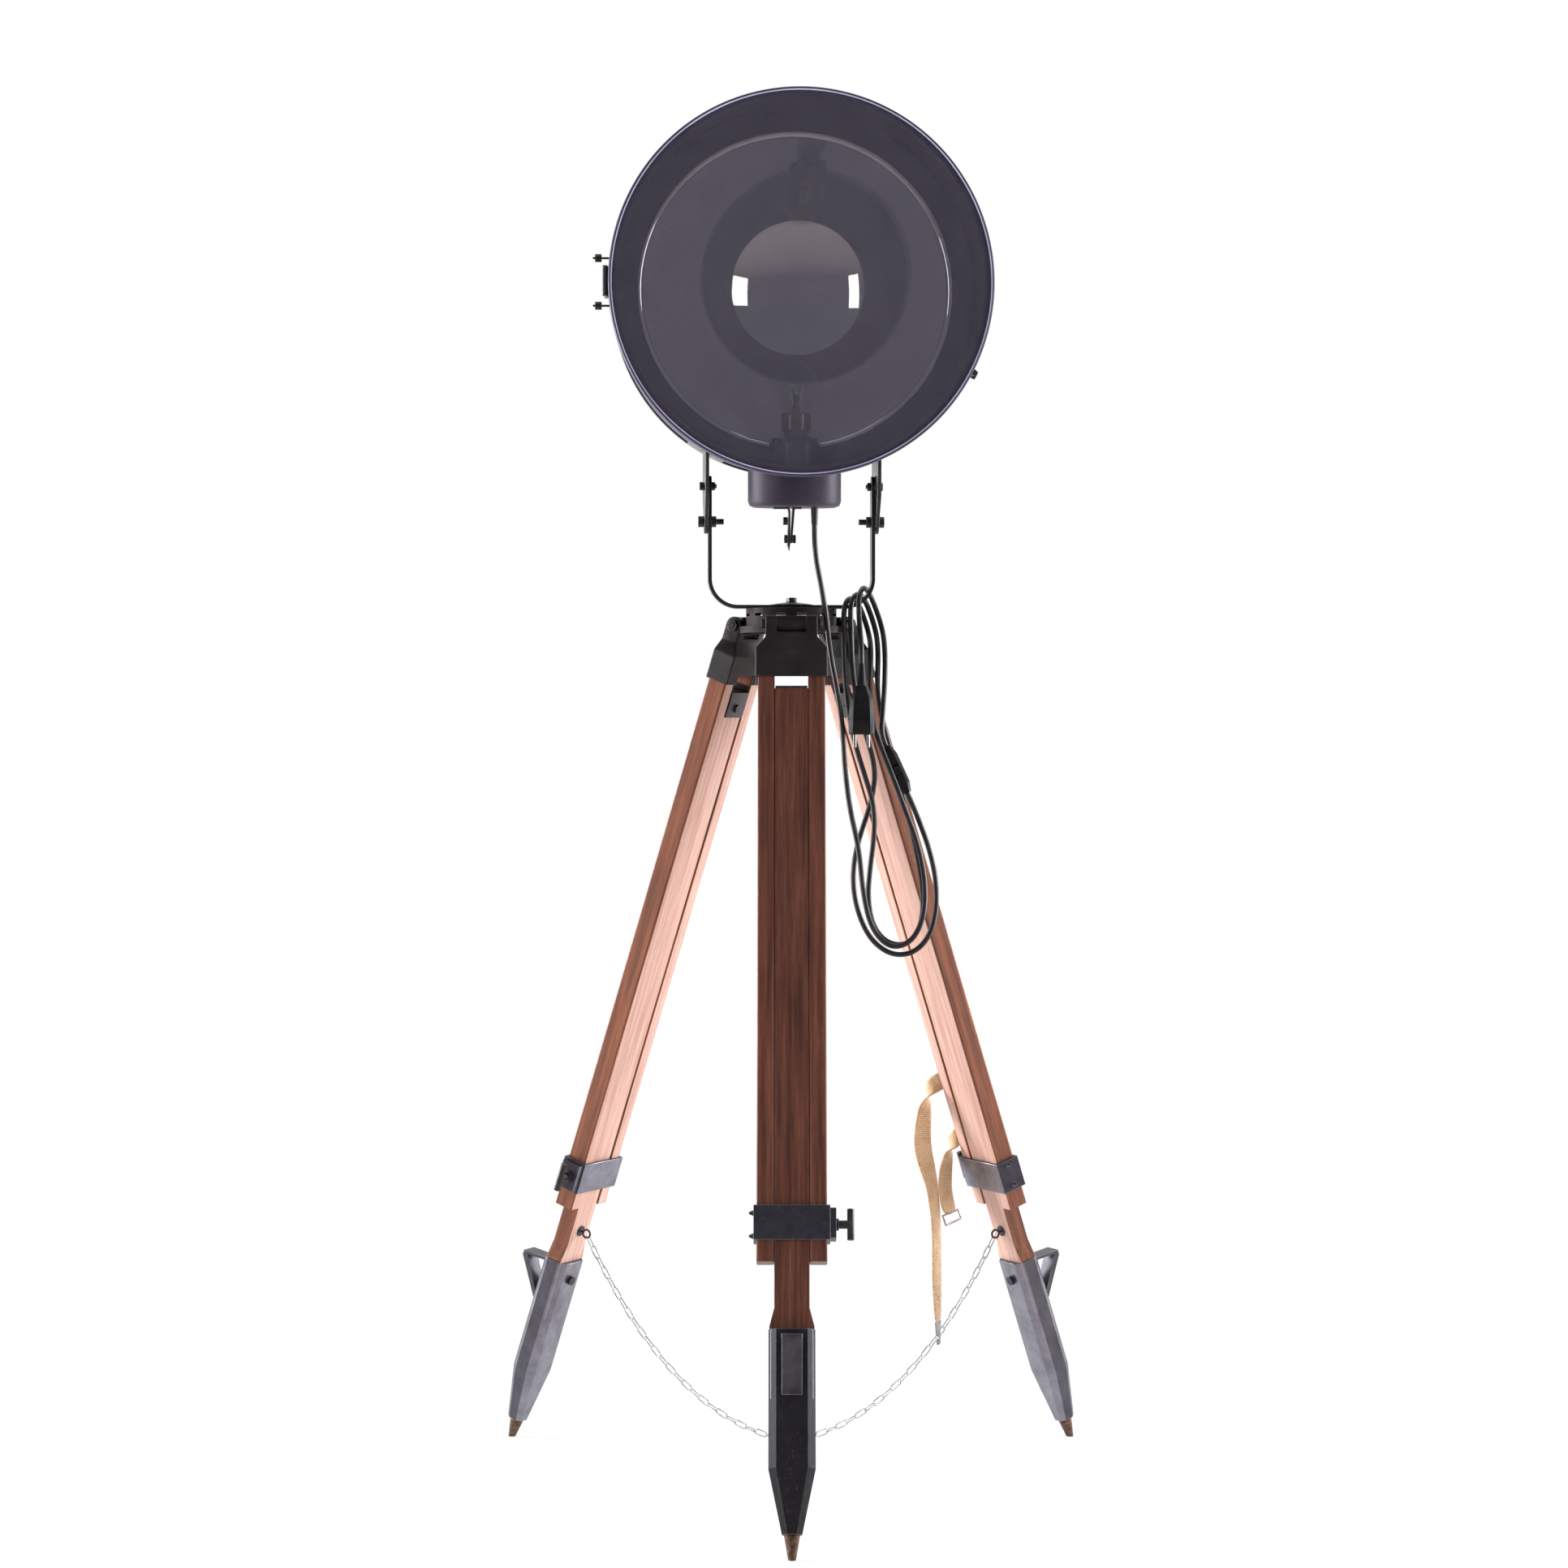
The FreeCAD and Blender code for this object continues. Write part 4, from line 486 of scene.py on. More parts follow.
def finishFor(node):
    for leg in legs:
        if node == "rails_" + leg:
            return railWood[leg]
        if node == "slide_" + leg:
            return boardWood[leg]
    if node in ("tilt_bolts", "lock_bolts", "pan_bolt", "leg_pins", "bezel_latch", "bezel_studs"):
        return boltFinish
    if node.startswith(("clamp_screw", "leg_fittings")):
        return fittingFinish
    if node.startswith("step_"):
        return stepSteel
    if node in shoeSteel:
        return shoeSteel[node]
    if node == "tripod_head":
        return crownPaint
    if node == "socket_housing":
        return housingPaint
    return finishes[slotOf[node]]


edgeRounding = {
    "leg_head": 1.6, "rails": 1.2, "slide": 1.0, "clamp_band": 0.7, "clamp_screw": 0.5, "shoe": 1.0,
    "step": 0.7, "tripod_head": 1.0, "yoke": 0.6, "head_brackets": 0.6, "plug_body": 0.8, "switch_body": 0.8,
    "switch_rocker": 0.4, "leg_pins": 0.5, "pan_bolt": 0.5, "tilt_bolts": 0.4, "lock_bolts": 0.4,
    "clamp_hook": 0.4, "bezel_hinge": 0.4, "bezel_ring": 0.6, "rear_cover": 0.5, "drum": 0.4,
    "socket_housing": 0.5, "bulb_pedestal": 0.8, "lamp_socket": 0.5}   # in mm
dressing = {"weldWithin": 0.002, "flatWithin": 0.4, "mostCorners": 120, "roundFrom": 40, "roundSteps": 2,
            "inward": 0.8, "shoeInward": 0.65}   # mm, degrees, corners, degrees, steps and two cosines


def paintLitInwardFaces(node, shape, mesh):   # towards the tripod's middle the wood gets a thinner coat, and wood and steel get pale tones: painted light
    leg = node.split("_")[-1]
    mesh.materials.append(inwardLitWood[leg] if node.startswith(("rails_", "slide_")) else inwardLitSteel)
    inward = legMatrix(legs[leg]).to_3x3() @ Vector((-1, 0, 0))
    least = dressing["shoeInward" if node.startswith("shoe_") else "inward"]
    for face in shape.faces:
        face.material_index = 1 if face.normal.dot(inward) > least else 0


def dressNode(node):
    mesh = nodes[node].data.copy()
    mesh.materials.clear()
    shape = bmesh.new()
    shape.from_mesh(mesh)
    bmesh.ops.remove_doubles(shape, verts=shape.verts, dist=dressing["weldWithin"] * millimetre)
    plain = shape.copy()
    bmesh.ops.dissolve_limit(shape, angle_limit=math.radians(dressing["flatWithin"]), verts=shape.verts,
                             edges=shape.edges)
    if max(len(face.verts) for face in shape.faces) > dressing["mostCorners"]:
        # a flat ring has become one face, which fills its hole, so the piece keeps its triangles
        shape, plain = plain, shape
    plain.free()
    for face in shape.faces:
        face.smooth = True
        face.material_index = 0
    piece = meshPiece("dressed_" + node, mesh, finishFor(node))
    if node.startswith(("rails_", "slide_", "shoe_", "clamp_band_")):
        paintLitInwardFaces(node, shape, mesh)
    shape.to_mesh(mesh)
    shape.free()
    mesh.set_sharp_from_angle(angle=sharpAngle)
    rounding = [size for key, size in edgeRounding.items() if node.startswith(key)]
    if rounding:
        bevel = piece.modifiers.new("edges", "BEVEL")
        bevel.width = rounding[0] * millimetre
        bevel.segments = dressing["roundSteps"]
        bevel.limit_method = "ANGLE"
        bevel.angle_limit = math.radians(dressing["roundFrom"])
    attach(piece, bodyOf[node])
    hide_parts(node)
    return piece


remade = ["mains_cord", "strap", "chain_ring", "mirror", "bezel_ring", "front_glass", "bulb_glass"]
remade += ["chain_" + leg for leg in legs]
dressed = {node: dressNode(node) for node in sorted(nodes) if node not in remade}
print("scene: dressed", len(dressed), "pieces")


# lamp head: the turned pieces, round and smooth; sizes in mm, with counts and a sweep in degrees

mirrorShape = {"focus": 85.0, "radius": 218.0, "rim": -75.0, "thickness": 1.6, "rings": 30, "steps": 144,
               "wayHalf": 31.0, "wayTop": 1466.0, "cutReach": 20.0}
# a narrow band on the lip's inner edge is painted pale: a painted highlight
ringShape = {"front": -197.0, "depth": 20.0, "outer": 262.0, "lip": 5.0, "paleEdge": 1.7, "bore": 249.5,
             "groove": 6.0, "glassRoom": 3.3, "glassThickness": 2.7, "glassGap": 0.8, "steps": 180,
             # each corner's points: how far in from the ring's edge and how far from its face
             "lipCorner": ((0, 1.6), (0.5, 0.5), (1.6, 0)),
             "frontCorner": ((3, 0), (1.1, 0.9), (0.2, 2.6), (0, 4)),
             "backCorner": ((0, 3), (0.6, 1), (2, 0), (4, 0)), "boreStep": 4.0, "grooveStep": 0.3}
bulbShape = {"y": -88.0, "centre": 1543.0, "radius": 30.0, "neck": 17.0, "length": 78.0, "wall": 0.8,
             "crownSweep": 135, "crownSteps": 16, "shoulderSteps": 6, "steps": 48}


def turnedMirror():   # a parabola spun about the lamp's axis, notched where the lamp's stem passes its rim
    shape = bmesh.new()
    fourFocus = 4 * mirrorShape["focus"]
    vertex = mirrorShape["rim"] + mirrorShape["radius"] ** 2 / fourFocus
    outline = []
    for i in range(mirrorShape["rings"] + 1):
        radius = mirrorShape["radius"] * i / mirrorShape["rings"]
        outline.append((radius, vertex - radius ** 2 / fourFocus))
    turnOutline(shape, outline, "Y", mirrorShape["steps"], closed=False)
    bmesh.ops.translate(shape, verts=shape.verts, vec=(0, 0, axisHeight))
    half, top = mirrorShape["wayHalf"] * millimetre, mirrorShape["wayTop"] * millimetre

    def facesBelow(height, reach):
        middles = [(face, face.calc_center_median()) for face in shape.faces]
        return [face for face, middle in middles if middle.z < height and abs(middle.x) < reach]

    for point, normal in (((-half, 0, 0), (1, 0, 0)), ((half, 0, 0), (1, 0, 0)), ((0, 0, top), (0, 0, 1))):
        near = facesBelow(top + mirrorShape["cutReach"] * millimetre, 2 * half)
        geometry = near + list({e for f in near for e in f.edges}) + list({v for f in near for v in f.verts})
        bmesh.ops.bisect_plane(shape, geom=geometry, plane_co=point, plane_no=normal, dist=1e-6)
    bmesh.ops.delete(shape, geom=facesBelow(top, half), context="FACES")
    bmesh.ops.transform(shape, matrix=headMatrix(), verts=shape.verts)
    piece = finishPiece("spunMirror", shape, finishes["mirror"], "lamp_head", "mirror", "mirror")
    thick = piece.modifiers.new("thickness", "SOLIDIFY")
    thick.thickness = mirrorShape["thickness"] * millimetre
    thick.offset = 1 if piece.data.polygons[0].normal.y > 0 else -1


def frontRing():   # rolled ring whose narrow lip holds the pane in a groove
    front, outer, lip = ringShape["front"], ringShape["outer"], ringShape["lip"]
    back = front + ringShape["depth"]
    inner = outer - lip
    groove = front + ringShape["groove"]
    room = groove + ringShape["glassRoom"]
    bore, step = ringShape["bore"], inner - ringShape["grooveStep"]
    outline = [(inner + across, front + along) for across, along in ringShape["lipCorner"]]
    outline += [(outer - across, front + along) for across, along in ringShape["frontCorner"]]
    outline += [(outer - across, back - along) for across, along in ringShape["backCorner"]]
    outline += [(bore, back - ringShape["boreStep"]), (bore, room), (step, room), (step, groove),
                (inner, groove)]
    shape = bmesh.new()
    turnOutline(shape, outline, "Y", ringShape["steps"])
    highlightRadius = (inner + ringShape["paleEdge"]) * millimetre
    highlightDepth = (front + ringShape["paleEdge"]) * millimetre
    for face in shape.faces:   # the lip's rounded inner edge gets the pale paint: a painted highlight
        middle = face.calc_center_median()
        face.material_index = int(math.hypot(middle.x, middle.z) < highlightRadius and middle.y < highlightDepth)
    bmesh.ops.translate(shape, verts=shape.verts, vec=(0, 0, axisHeight))
    bmesh.ops.transform(shape, matrix=headMatrix(), verts=shape.verts)
    ring = finishPiece("rolledFrontRing", shape, ringPaint, "bezel", "drum_paint", "bezel_ring")
    ring.data.materials.append(rimHighlightPaint)


def frontPane():
    shape = bmesh.new()
    radius = (ringShape["outer"] - ringShape["lip"] - ringShape["glassGap"]) * millimetre
    depth = ringShape["glassThickness"] * millimetre
    middle = (ringShape["front"] + ringShape["groove"] + ringShape["glassRoom"] / 2) * millimetre
    turn = Matrix.Translation((0, middle, axisHeight))
    bmesh.ops.create_cone(shape, segments=ringShape["steps"], radius1=radius, radius2=radius, depth=depth,
                          cap_ends=True, matrix=turn @ Matrix.Rotation(math.pi / 2, 4, "X"))
    bmesh.ops.transform(shape, matrix=headMatrix(), verts=shape.verts)
    finishPiece("frontPane", shape, finishes["clear_glass"], "bezel", "clear_glass", "front_glass")


def blownBulb():
    radius, neck, centre = bulbShape["radius"], bulbShape["neck"], bulbShape["centre"]
    low = centre + radius - bulbShape["length"]
    sweep, crownSteps = bulbShape["crownSweep"], bulbShape["crownSteps"]
    shoulderSteps = bulbShape["shoulderSteps"]

    def profile(inset):
        points = []
        for i in range(crownSteps + 1):
            turn = math.radians(90 - sweep * i / crownSteps)
            points.append(((radius - inset) * math.cos(turn), centre + (radius - inset) * math.sin(turn)))
        points[0] = (0, points[0][1])
        lastRadius, lastHeight = points[-1]
        for i in range(1, shoulderSteps + 1):   # the shoulder flows into the straight neck
            share = i / shoulderSteps
            ease = 1 - (1 - share) ** 2
            points.append((lastRadius + (neck - inset - lastRadius) * ease,
                           lastHeight + (low - lastHeight) * share))
        return points

    shape = bmesh.new()
    turnOutline(shape, profile(0) + profile(bulbShape["wall"])[::-1], "Z", bulbShape["steps"])
    bmesh.ops.translate(shape, verts=shape.verts, vec=(0, bulbShape["y"] * millimetre, 0))
    bmesh.ops.transform(shape, matrix=headMatrix(), verts=shape.verts)
    finishPiece("blownBulb", shape, finishes["bulb_glass"], "lamp_head", "bulb_glass", "bulb_glass")


turnedMirror()
frontRing()
frontPane()
blownBulb()
print("scene: lamp head turned")


# legs: dark strips in the gaps between the rails and the board, painted shade

gapStripShape = {"gapMiddle": 23.35, "thickness": 0.18, "depth": 25.0, "low": 384.0, "high": 1188.0}   # in mm


def gapShadeStrips(leg, azimuth):
    shape = bmesh.new()
    middle = (gapStripShape["low"] + gapStripShape["high"]) / 2
    size = (gapStripShape["depth"], gapStripShape["thickness"], gapStripShape["high"] - gapStripShape["low"])
    stretch = Matrix.Diagonal(Vector((*size, 1 / millimetre)) * millimetre)
    for side in (-1, 1):
        place = Matrix.Translation(Vector((0, side * gapStripShape["gapMiddle"], middle)) * millimetre)
        bmesh.ops.create_cube(shape, size=1, matrix=legMatrix(azimuth) @ place @ stretch)
    finishPiece("gapShadeStrips_" + leg, shape, gapShade, "upper_leg_" + leg, "cord_sheath")


for legName, legAzimuth in legs.items():
    gapShadeStrips(legName, legAzimuth)
print("scene: rails lined")


# stay chains: bent wire links on a half catenary

chainShape = {"sag": 0.262, "height": 0.047, "links": 26, "pitch": 0.0172, "length": 0.022, "width": 0.009,
              "wire": 0.0017, "ring": 0.009, "ringWire": 0.0025, "ringGap": 0.0006, "hookedBy": 0.002,
              "sectionSides": 6, "bowSteps": 5, "ringSides": 12, "ringSteps": 48}   # in metres, with counts


def bentLink():
    wireRadius = chainShape["wire"] / 2
    bow = (chainShape["width"] - chainShape["wire"]) / 2
    half = (chainShape["length"] - chainShape["width"]) / 2
    shape = bmesh.new()
    bmesh.ops.create_circle(shape, segments=chainShape["sectionSides"], radius=wireRadius,
                            matrix=Matrix.Translation((-half, 0, bow)) @ Matrix.Rotation(math.pi / 2, 4, "Y"))
    section = shape.edges[:]
    for side in (1, -1):
        drawn = bmesh.ops.extrude_edge_only(shape, edges=section)["geom"]
        moved = [v for v in drawn if isinstance(v, bmesh.types.BMVert)]
        bmesh.ops.translate(shape, verts=moved, vec=(2 * half * side, 0, 0))
        ends = [e for e in drawn if isinstance(e, bmesh.types.BMEdge) and all(v in moved for v in e.verts)]
        turned = bmesh.ops.spin(shape, geom=ends + moved, cent=(half * side, 0, 0), axis=(0, 1, 0),
                                angle=math.pi, steps=chainShape["bowSteps"], use_duplicate=False)
        section = [e for e in turned["geom_last"] if isinstance(e, bmesh.types.BMEdge)]
    bmesh.ops.remove_doubles(shape, verts=shape.verts, dist=0.02 * millimetre)
    bmesh.ops.recalc_face_normals(shape, faces=shape.faces)
    return meshFrom("bentLink", shape)


def stayChain(leg, azimuth, link):
    shape = bmesh.new()
    sag = chainShape["sag"]
    outward = Matrix.Rotation(math.radians(azimuth), 4, "Z")
    first = (chainShape["ring"] - chainShape["ringWire"] / 2 - chainShape["ringGap"]
             + chainShape["length"] / 2 - chainShape["hookedBy"])
    for i in range(chainShape["links"]):
        arc = first + i * chainShape["pitch"]
        radius = sag * math.asinh(arc / sag)
        height = chainShape["height"] + math.hypot(sag, arc) - sag
        hang = Matrix.Rotation(-math.atan2(arc, sag), 4, "Y")
        crosswise = Matrix.Rotation(math.radians(90 * (i % 2)), 4, "X")
        place = outward @ Matrix.Translation((radius, 0, height)) @ hang @ crosswise
        before = len(shape.verts)
        shape.from_mesh(link)
        shape.verts.ensure_lookup_table()
        bmesh.ops.transform(shape, matrix=place, verts=shape.verts[before:])
    chain = meshPiece("stayChain_" + leg, meshFrom("stayChain_" + leg, shape), chainFinish)
    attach(chain, "lower_leg_" + leg)
    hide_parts("chain_" + leg)
    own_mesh(chain)


def middleRing():
    shape = bmesh.new()
    bmesh.ops.create_circle(shape, segments=chainShape["ringSides"], radius=chainShape["ringWire"] / 2,
                            matrix=Matrix.Translation((chainShape["ring"], 0, chainShape["height"]))
                            @ Matrix.Rotation(math.pi / 2, 4, "X"))
    bmesh.ops.spin(shape, geom=shape.verts[:] + shape.edges[:], cent=(0, 0, chainShape["height"]),
                   axis=(0, 0, 1), angle=2 * math.pi, steps=chainShape["ringSteps"], use_merge=True)
    bmesh.ops.recalc_face_normals(shape, faces=shape.faces)
    ring = meshPiece("middleRing", meshFrom("middleRing", shape), chainFinish)
    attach(ring, "tripod_head")
    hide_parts("chain_ring")


plainLink = bentLink()
for legName, legAzimuth in legs.items():
    stayChain(legName, legAzimuth, plainLink)
middleRing()
print("scene: chains hung")


# strap: cotton webbing wrapped round the right leg's far side

strapShape = {   # in mm; each station is a place and the direction across the band
    "width": 26.0, "thickness": 1.7, "tip": 0.8, "subdivideFrom": 20.0,
    "tail": [
        ((239.7, 193.9, 547.0), (-0.282, -0.163, 0.946)), ((220.6, 182.9, 539.0), (-0.282, -0.163, 0.946)),
        ((210.0, 184.0, 532.0), (-0.15, 0.1, 0.95)), ((202.5, 185.0, 520.0), (0.25, 0.45, 0.80)),
        ((198.4, 184.0, 504.5), (0.60, 0.60, 0.40)), ((194.8, 182.0, 474.7), (0.86, 0.45, 0.10)),
        ((193.6, 182.0, 450.7), (0.93, 0.30, 0.00)), ((195.9, 182.0, 430.3), (0.92, 0.32, 0.10)),
        ((200.7, 182.0, 412.3), (0.86, 0.45, 0.10)), ((208.0, 184.0, 384.3), (0.66, 0.74, 0.00)),
        ((212.8, 185.0, 348.1), (0.56, 0.82, 0.00)), ((215.2, 186.0, 308.3), (0.50, 0.86, 0.00)),
        ((215.2, 186.0, 250.5), (0.52, 0.85, 0.00)), ((216.4, 186.0, 209.6), (0.44, 0.89, 0.00)),
        ((217.2, 186.0, 182.0), (0.40, 0.91, 0.00))],
    "short": [
        ((264.5, 208.2, 463.5), (-0.282, -0.163, 0.946)), ((245.9, 197.5, 454.5), (-0.282, -0.163, 0.946)),
        ((239.5, 200.5, 445.0), (0.05, 0.25, 0.95)), ((234.0, 201.5, 431.0), (0.50, 0.60, 0.60)),
        ((229.1, 200.0, 406.2), (0.72, 0.66, 0.15)), ((227.8, 198.0, 379.9), (0.76, 0.64, 0.00)),
        ((231.3, 197.0, 356.0), (0.76, 0.64, 0.05)), ((236.2, 196.0, 341.5), (0.72, 0.64, 0.10))]}


def webbingBand(name, rows, tip=1.0):
    shape = bmesh.new()
    strip = shape.loops.layers.uv.new("band")
    points = [Vector(place) * millimetre for place, _ in rows]
    run = 0.0
    edge = None
    for i, (_, across) in enumerate(rows):
        ahead = points[min(i + 1, len(rows) - 1)] - points[max(i - 1, 0)]
        if i < 2:
            ahead = points[1] - points[0]
        side = Vector(across) - ahead * (Vector(across).dot(ahead) / ahead.length_squared)
        half = side.normalized() * strapShape["width"] * millimetre / 2 * (tip if i == len(rows) - 1 else 1)
        if edge is None:
            pair = [shape.verts.new(points[0] - half), shape.verts.new(points[0] + half)]
            edge = shape.edges.new(pair)
            continue
        step = (points[i] - points[i - 1]).length
        drawn = bmesh.ops.extrude_edge_only(shape, edges=[edge])["geom"]
        face = [g for g in drawn if isinstance(g, bmesh.types.BMFace)][0]
        fresh = [g for g in drawn if isinstance(g, bmesh.types.BMVert)]
        fresh.sort(key=lambda v: (v.co - pair[0].co).length)
        for vert, end in zip(fresh, (points[i] - half, points[i] + half)):
            vert.co = end
        for loop in face.loops:
            new = loop.vert in fresh
            right = loop.vert in (pair[1], fresh[1])
            loop[strip].uv = (strapShape["width"] * millimetre * right, run + step * new)
        run += step
        pair = fresh
        edge = [g for g in drawn if isinstance(g, bmesh.types.BMEdge) and all(v in fresh for v in g.verts)][0]
    longest = strapShape["subdivideFrom"] * millimetre
    long = [e for e in shape.edges if e.link_faces and e.calc_length() > longest]
    bmesh.ops.subdivide_edges(shape, edges=long, cuts=1, use_grid_fill=True)
    band = meshPiece(name, meshFrom(name, shape), finishes["webbing"])
    smooth = band.modifiers.new("smooth", "SUBSURF")
    smooth.levels = smooth.render_levels = 2
    thick = band.modifiers.new("thickness", "SOLIDIFY")
    thick.thickness = strapShape["thickness"] * millimetre
    thick.offset = 0
    return band


def applyModifiers(piece):
    made = bpy.data.meshes.new_from_object(piece.evaluated_get(bpy.context.evaluated_depsgraph_get()))
    piece.modifiers.clear()
    piece.data = made
    return piece


strapTail = applyModifiers(webbingBand("strapTail", strapShape["tail"], strapShape["tip"]))
strapShort = applyModifiers(webbingBand("strapShort", strapShape["short"]))
for band in (strapTail, strapShort):
    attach(band, "upper_leg_right")
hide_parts("strap")
print("scene: strap tied")


# mains cord

cordShape = {   # in mm
    "diameter": 7.5, "curveSteps": 6, "sectionSteps": 4,
    "lampRoute": [
        (32.2, -73.7, 1343.1), (32.1, -72.5, 1305), (41, -68, 1262), (49, -63, 1215), (54, -59, 1165),
        (64, -57, 1115), (72, -55, 1060), (75, -54, 1000), (82, -53, 945), (95, -52, 890),
        (100, -52, 830), (112, -52, 778), (139, -51, 750), (170, -50, 760), (187, -49, 797),
        (188, -47, 846), (178, -43, 897), (161, -40, 942), (146, -37, 983), (129, -31, 1025),
        (114, -23, 1069), (110, -17, 1114), (113, -13, 1163), (111, 31, 1196), (93, 33, 1246),
        (74, -19, 1240), (74, -25, 1190), (75, -27, 1140), (79, -28, 1092), (88, -30, 1042),
        (104, -37, 990), (116, -39, 952), (117, -39, 912), (111, -39, 866), (107, -39, 822),
        (114, -39, 782), (134, -39, 757), (164, -38, 754), (183, -37, 782), (186, -35, 822),
        (180, -33, 868), (170, -28, 913), (161, -12, 948), (152, -4, 986), (140, -3, 1030),
        (127, -8, 1076), (121, -10, 1118), (123, -9, 1164), (121, 31, 1200), (101, 34, 1254),
        (83, -19, 1243), (84, -23, 1192), (86, -25, 1142), (93, -26, 1093), (107, -26, 1045),
        (119, -26, 1000), (113, -26, 955), (98, -26, 913), (88, -26, 873), (87, -26, 832),
        (96, -26, 793), (113, -26, 760), (140, -26, 740), (170, -26, 741), (194, -26, 763),
        (205, -26, 803), (204, -26, 848), (195, -25, 888), (183, -22, 922), (170.96, -20, 952.02),
        (163.5, -20, 968.4)],
    "plugRoute": [
        (133.8, -20, 1033.6), (126.34, -20, 1049.98), (129, -19, 1081), (132, -13, 1120),
        (133, -7, 1164), (130, 31, 1205), (107, 37, 1264.5), (94, -19, 1249),
        (96, -36, 1200), (98, -60, 1174), (98, -60, 1150)]}


def routeCurve(name, route, bevel):
    curve = bpy.data.curves.new(name, "CURVE")
    curve.dimensions = "3D"
    spline = curve.splines.new("NURBS")
    spline.points.add(len(route) - 1)
    for point, place in zip(spline.points, route):
        point.co = [c * millimetre for c in place] + [1]
    spline.order_u = 3
    spline.use_endpoint_u = True
    curve.resolution_u = cordShape["curveSteps"]
    curve.bevel_depth = bevel
    curve.bevel_resolution = cordShape["sectionSteps"]
    curve.use_fill_caps = True
    return bpy.data.objects.new(name, curve)


def pathPoints(route):
    return [vertex.co.copy() for vertex in meshFromCurve(routeCurve("linePath", route, 0)).vertices]


def pathLength(points):
    return sum((b - a).length for a, b in zip(points, points[1:]))


def cordTube(name, route):
    mesh = meshFromCurve(routeCurve(name, route, cordShape["diameter"] / 2 * millimetre))
    piece = meshPiece(name, mesh, finishes["cord_sheath"])
    return piece


lampPath = pathPoints(cordShape["lampRoute"])
plugPath = pathPoints(cordShape["plugRoute"])
lampCord = cordTube("lampCord", cordShape["lampRoute"])
plugCord = cordTube("plugCord", cordShape["plugRoute"])
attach(plugCord, "yoke")
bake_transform(lampCord)
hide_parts("mains_cord")
print("scene: cord %.2f m and %.2f m" % (pathLength(lampPath), pathLength(plugPath)))


# bulb filament

filament = {"base": 1495.0, "hooks": 5, "rise": 1537.0, "spread": 9.0, "bow": 3.0, "wire": 0.35,
            "coil": 0.6, "coilWire": 0.12, "turns": 90, "turnSteps": 6, "leadFoot": 2.0,
            "leadBend": (4.0, 14.0), "stemEnd": 4.0, "hookRoot": 6.0}   # in mm, with counts


def wireAlong(name, strands, radius):
    curve = bpy.data.curves.new(name, "CURVE")
    curve.dimensions = "3D"
    for strand in strands:
        spline = curve.splines.new("POLY")
        spline.points.add(len(strand) - 1)
        for point, place in zip(spline.points, strand):
            point.co = [*place, 1]
    curve.bevel_depth = radius * millimetre
    curve.bevel_resolution = 2
    piece = meshPiece(name, meshFromCurve(bpy.data.objects.new(name, curve)), wire)
    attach(piece, "lamp_head")


def bulbWires():
    y, base, rise = bulbShape["y"], filament["base"], filament["rise"]
    spread, bow, coilRadius = filament["spread"], filament["bow"], filament["coil"]
    bendOut, bendUp = filament["leadBend"]
    strands = []
    for side in (-1, 1):   # the two leads
        strands.append([headPlace(side * filament["leadFoot"], y, base),
                        headPlace(side * bendOut, y, base + bendUp), headPlace(side * spread, y, rise)])
    # the glass stem's wire ends a little below the coil
    strands.append([headPlace(0, y, base), headPlace(0, y, rise - filament["stemEnd"])])
    for i in range(filament["hooks"]):
        turn = math.pi * (i + 0.5) / filament["hooks"]
        tip = headPlace(spread * math.cos(turn), y - bow * math.sin(turn), rise)
        strands.append([headPlace(0, y, rise - filament["hookRoot"]), tip])
    wireAlong("filamentHooks", strands, filament["wire"])
    coil = []
    steps = filament["turns"] * filament["turnSteps"]
    for i in range(steps + 1):
        sweep = math.pi * (i / steps)
        spin = 2 * math.pi * i / filament["turnSteps"]
        coil.append(headPlace(spread * math.cos(sweep),
                              y - bow * math.sin(sweep) + coilRadius * math.cos(spin),
                              rise + coilRadius * math.sin(spin)))
    wireAlong("filamentCoil", [coil], filament["coilWire"])


bulbWires()
print("scene: bulb wired")


# stage, light and camera

studioLight = {"behind": 1.0, "ahead": 0.22, "diffuseBehind": 0.90, "diffuseAhead": 0.22,
               "floor": "#f2f2f2", "floorNear": "#e6d6cf", "floorFar": "#8a8084",
               # distances in metres over which the floor's shadow, its white and its room tone fade, and
               # how far back a direction points where the dim room turns into the white wall
               "shadowFade": (0.5, 1.1), "whiteFade": (-0.7, 0.3), "roomFade": (-5.0, -0.6),
               "wallFade": (-0.15, 0.35), "shadowShown": 0.80, "floorSize": 30,
               "aimHeight": 1.1}


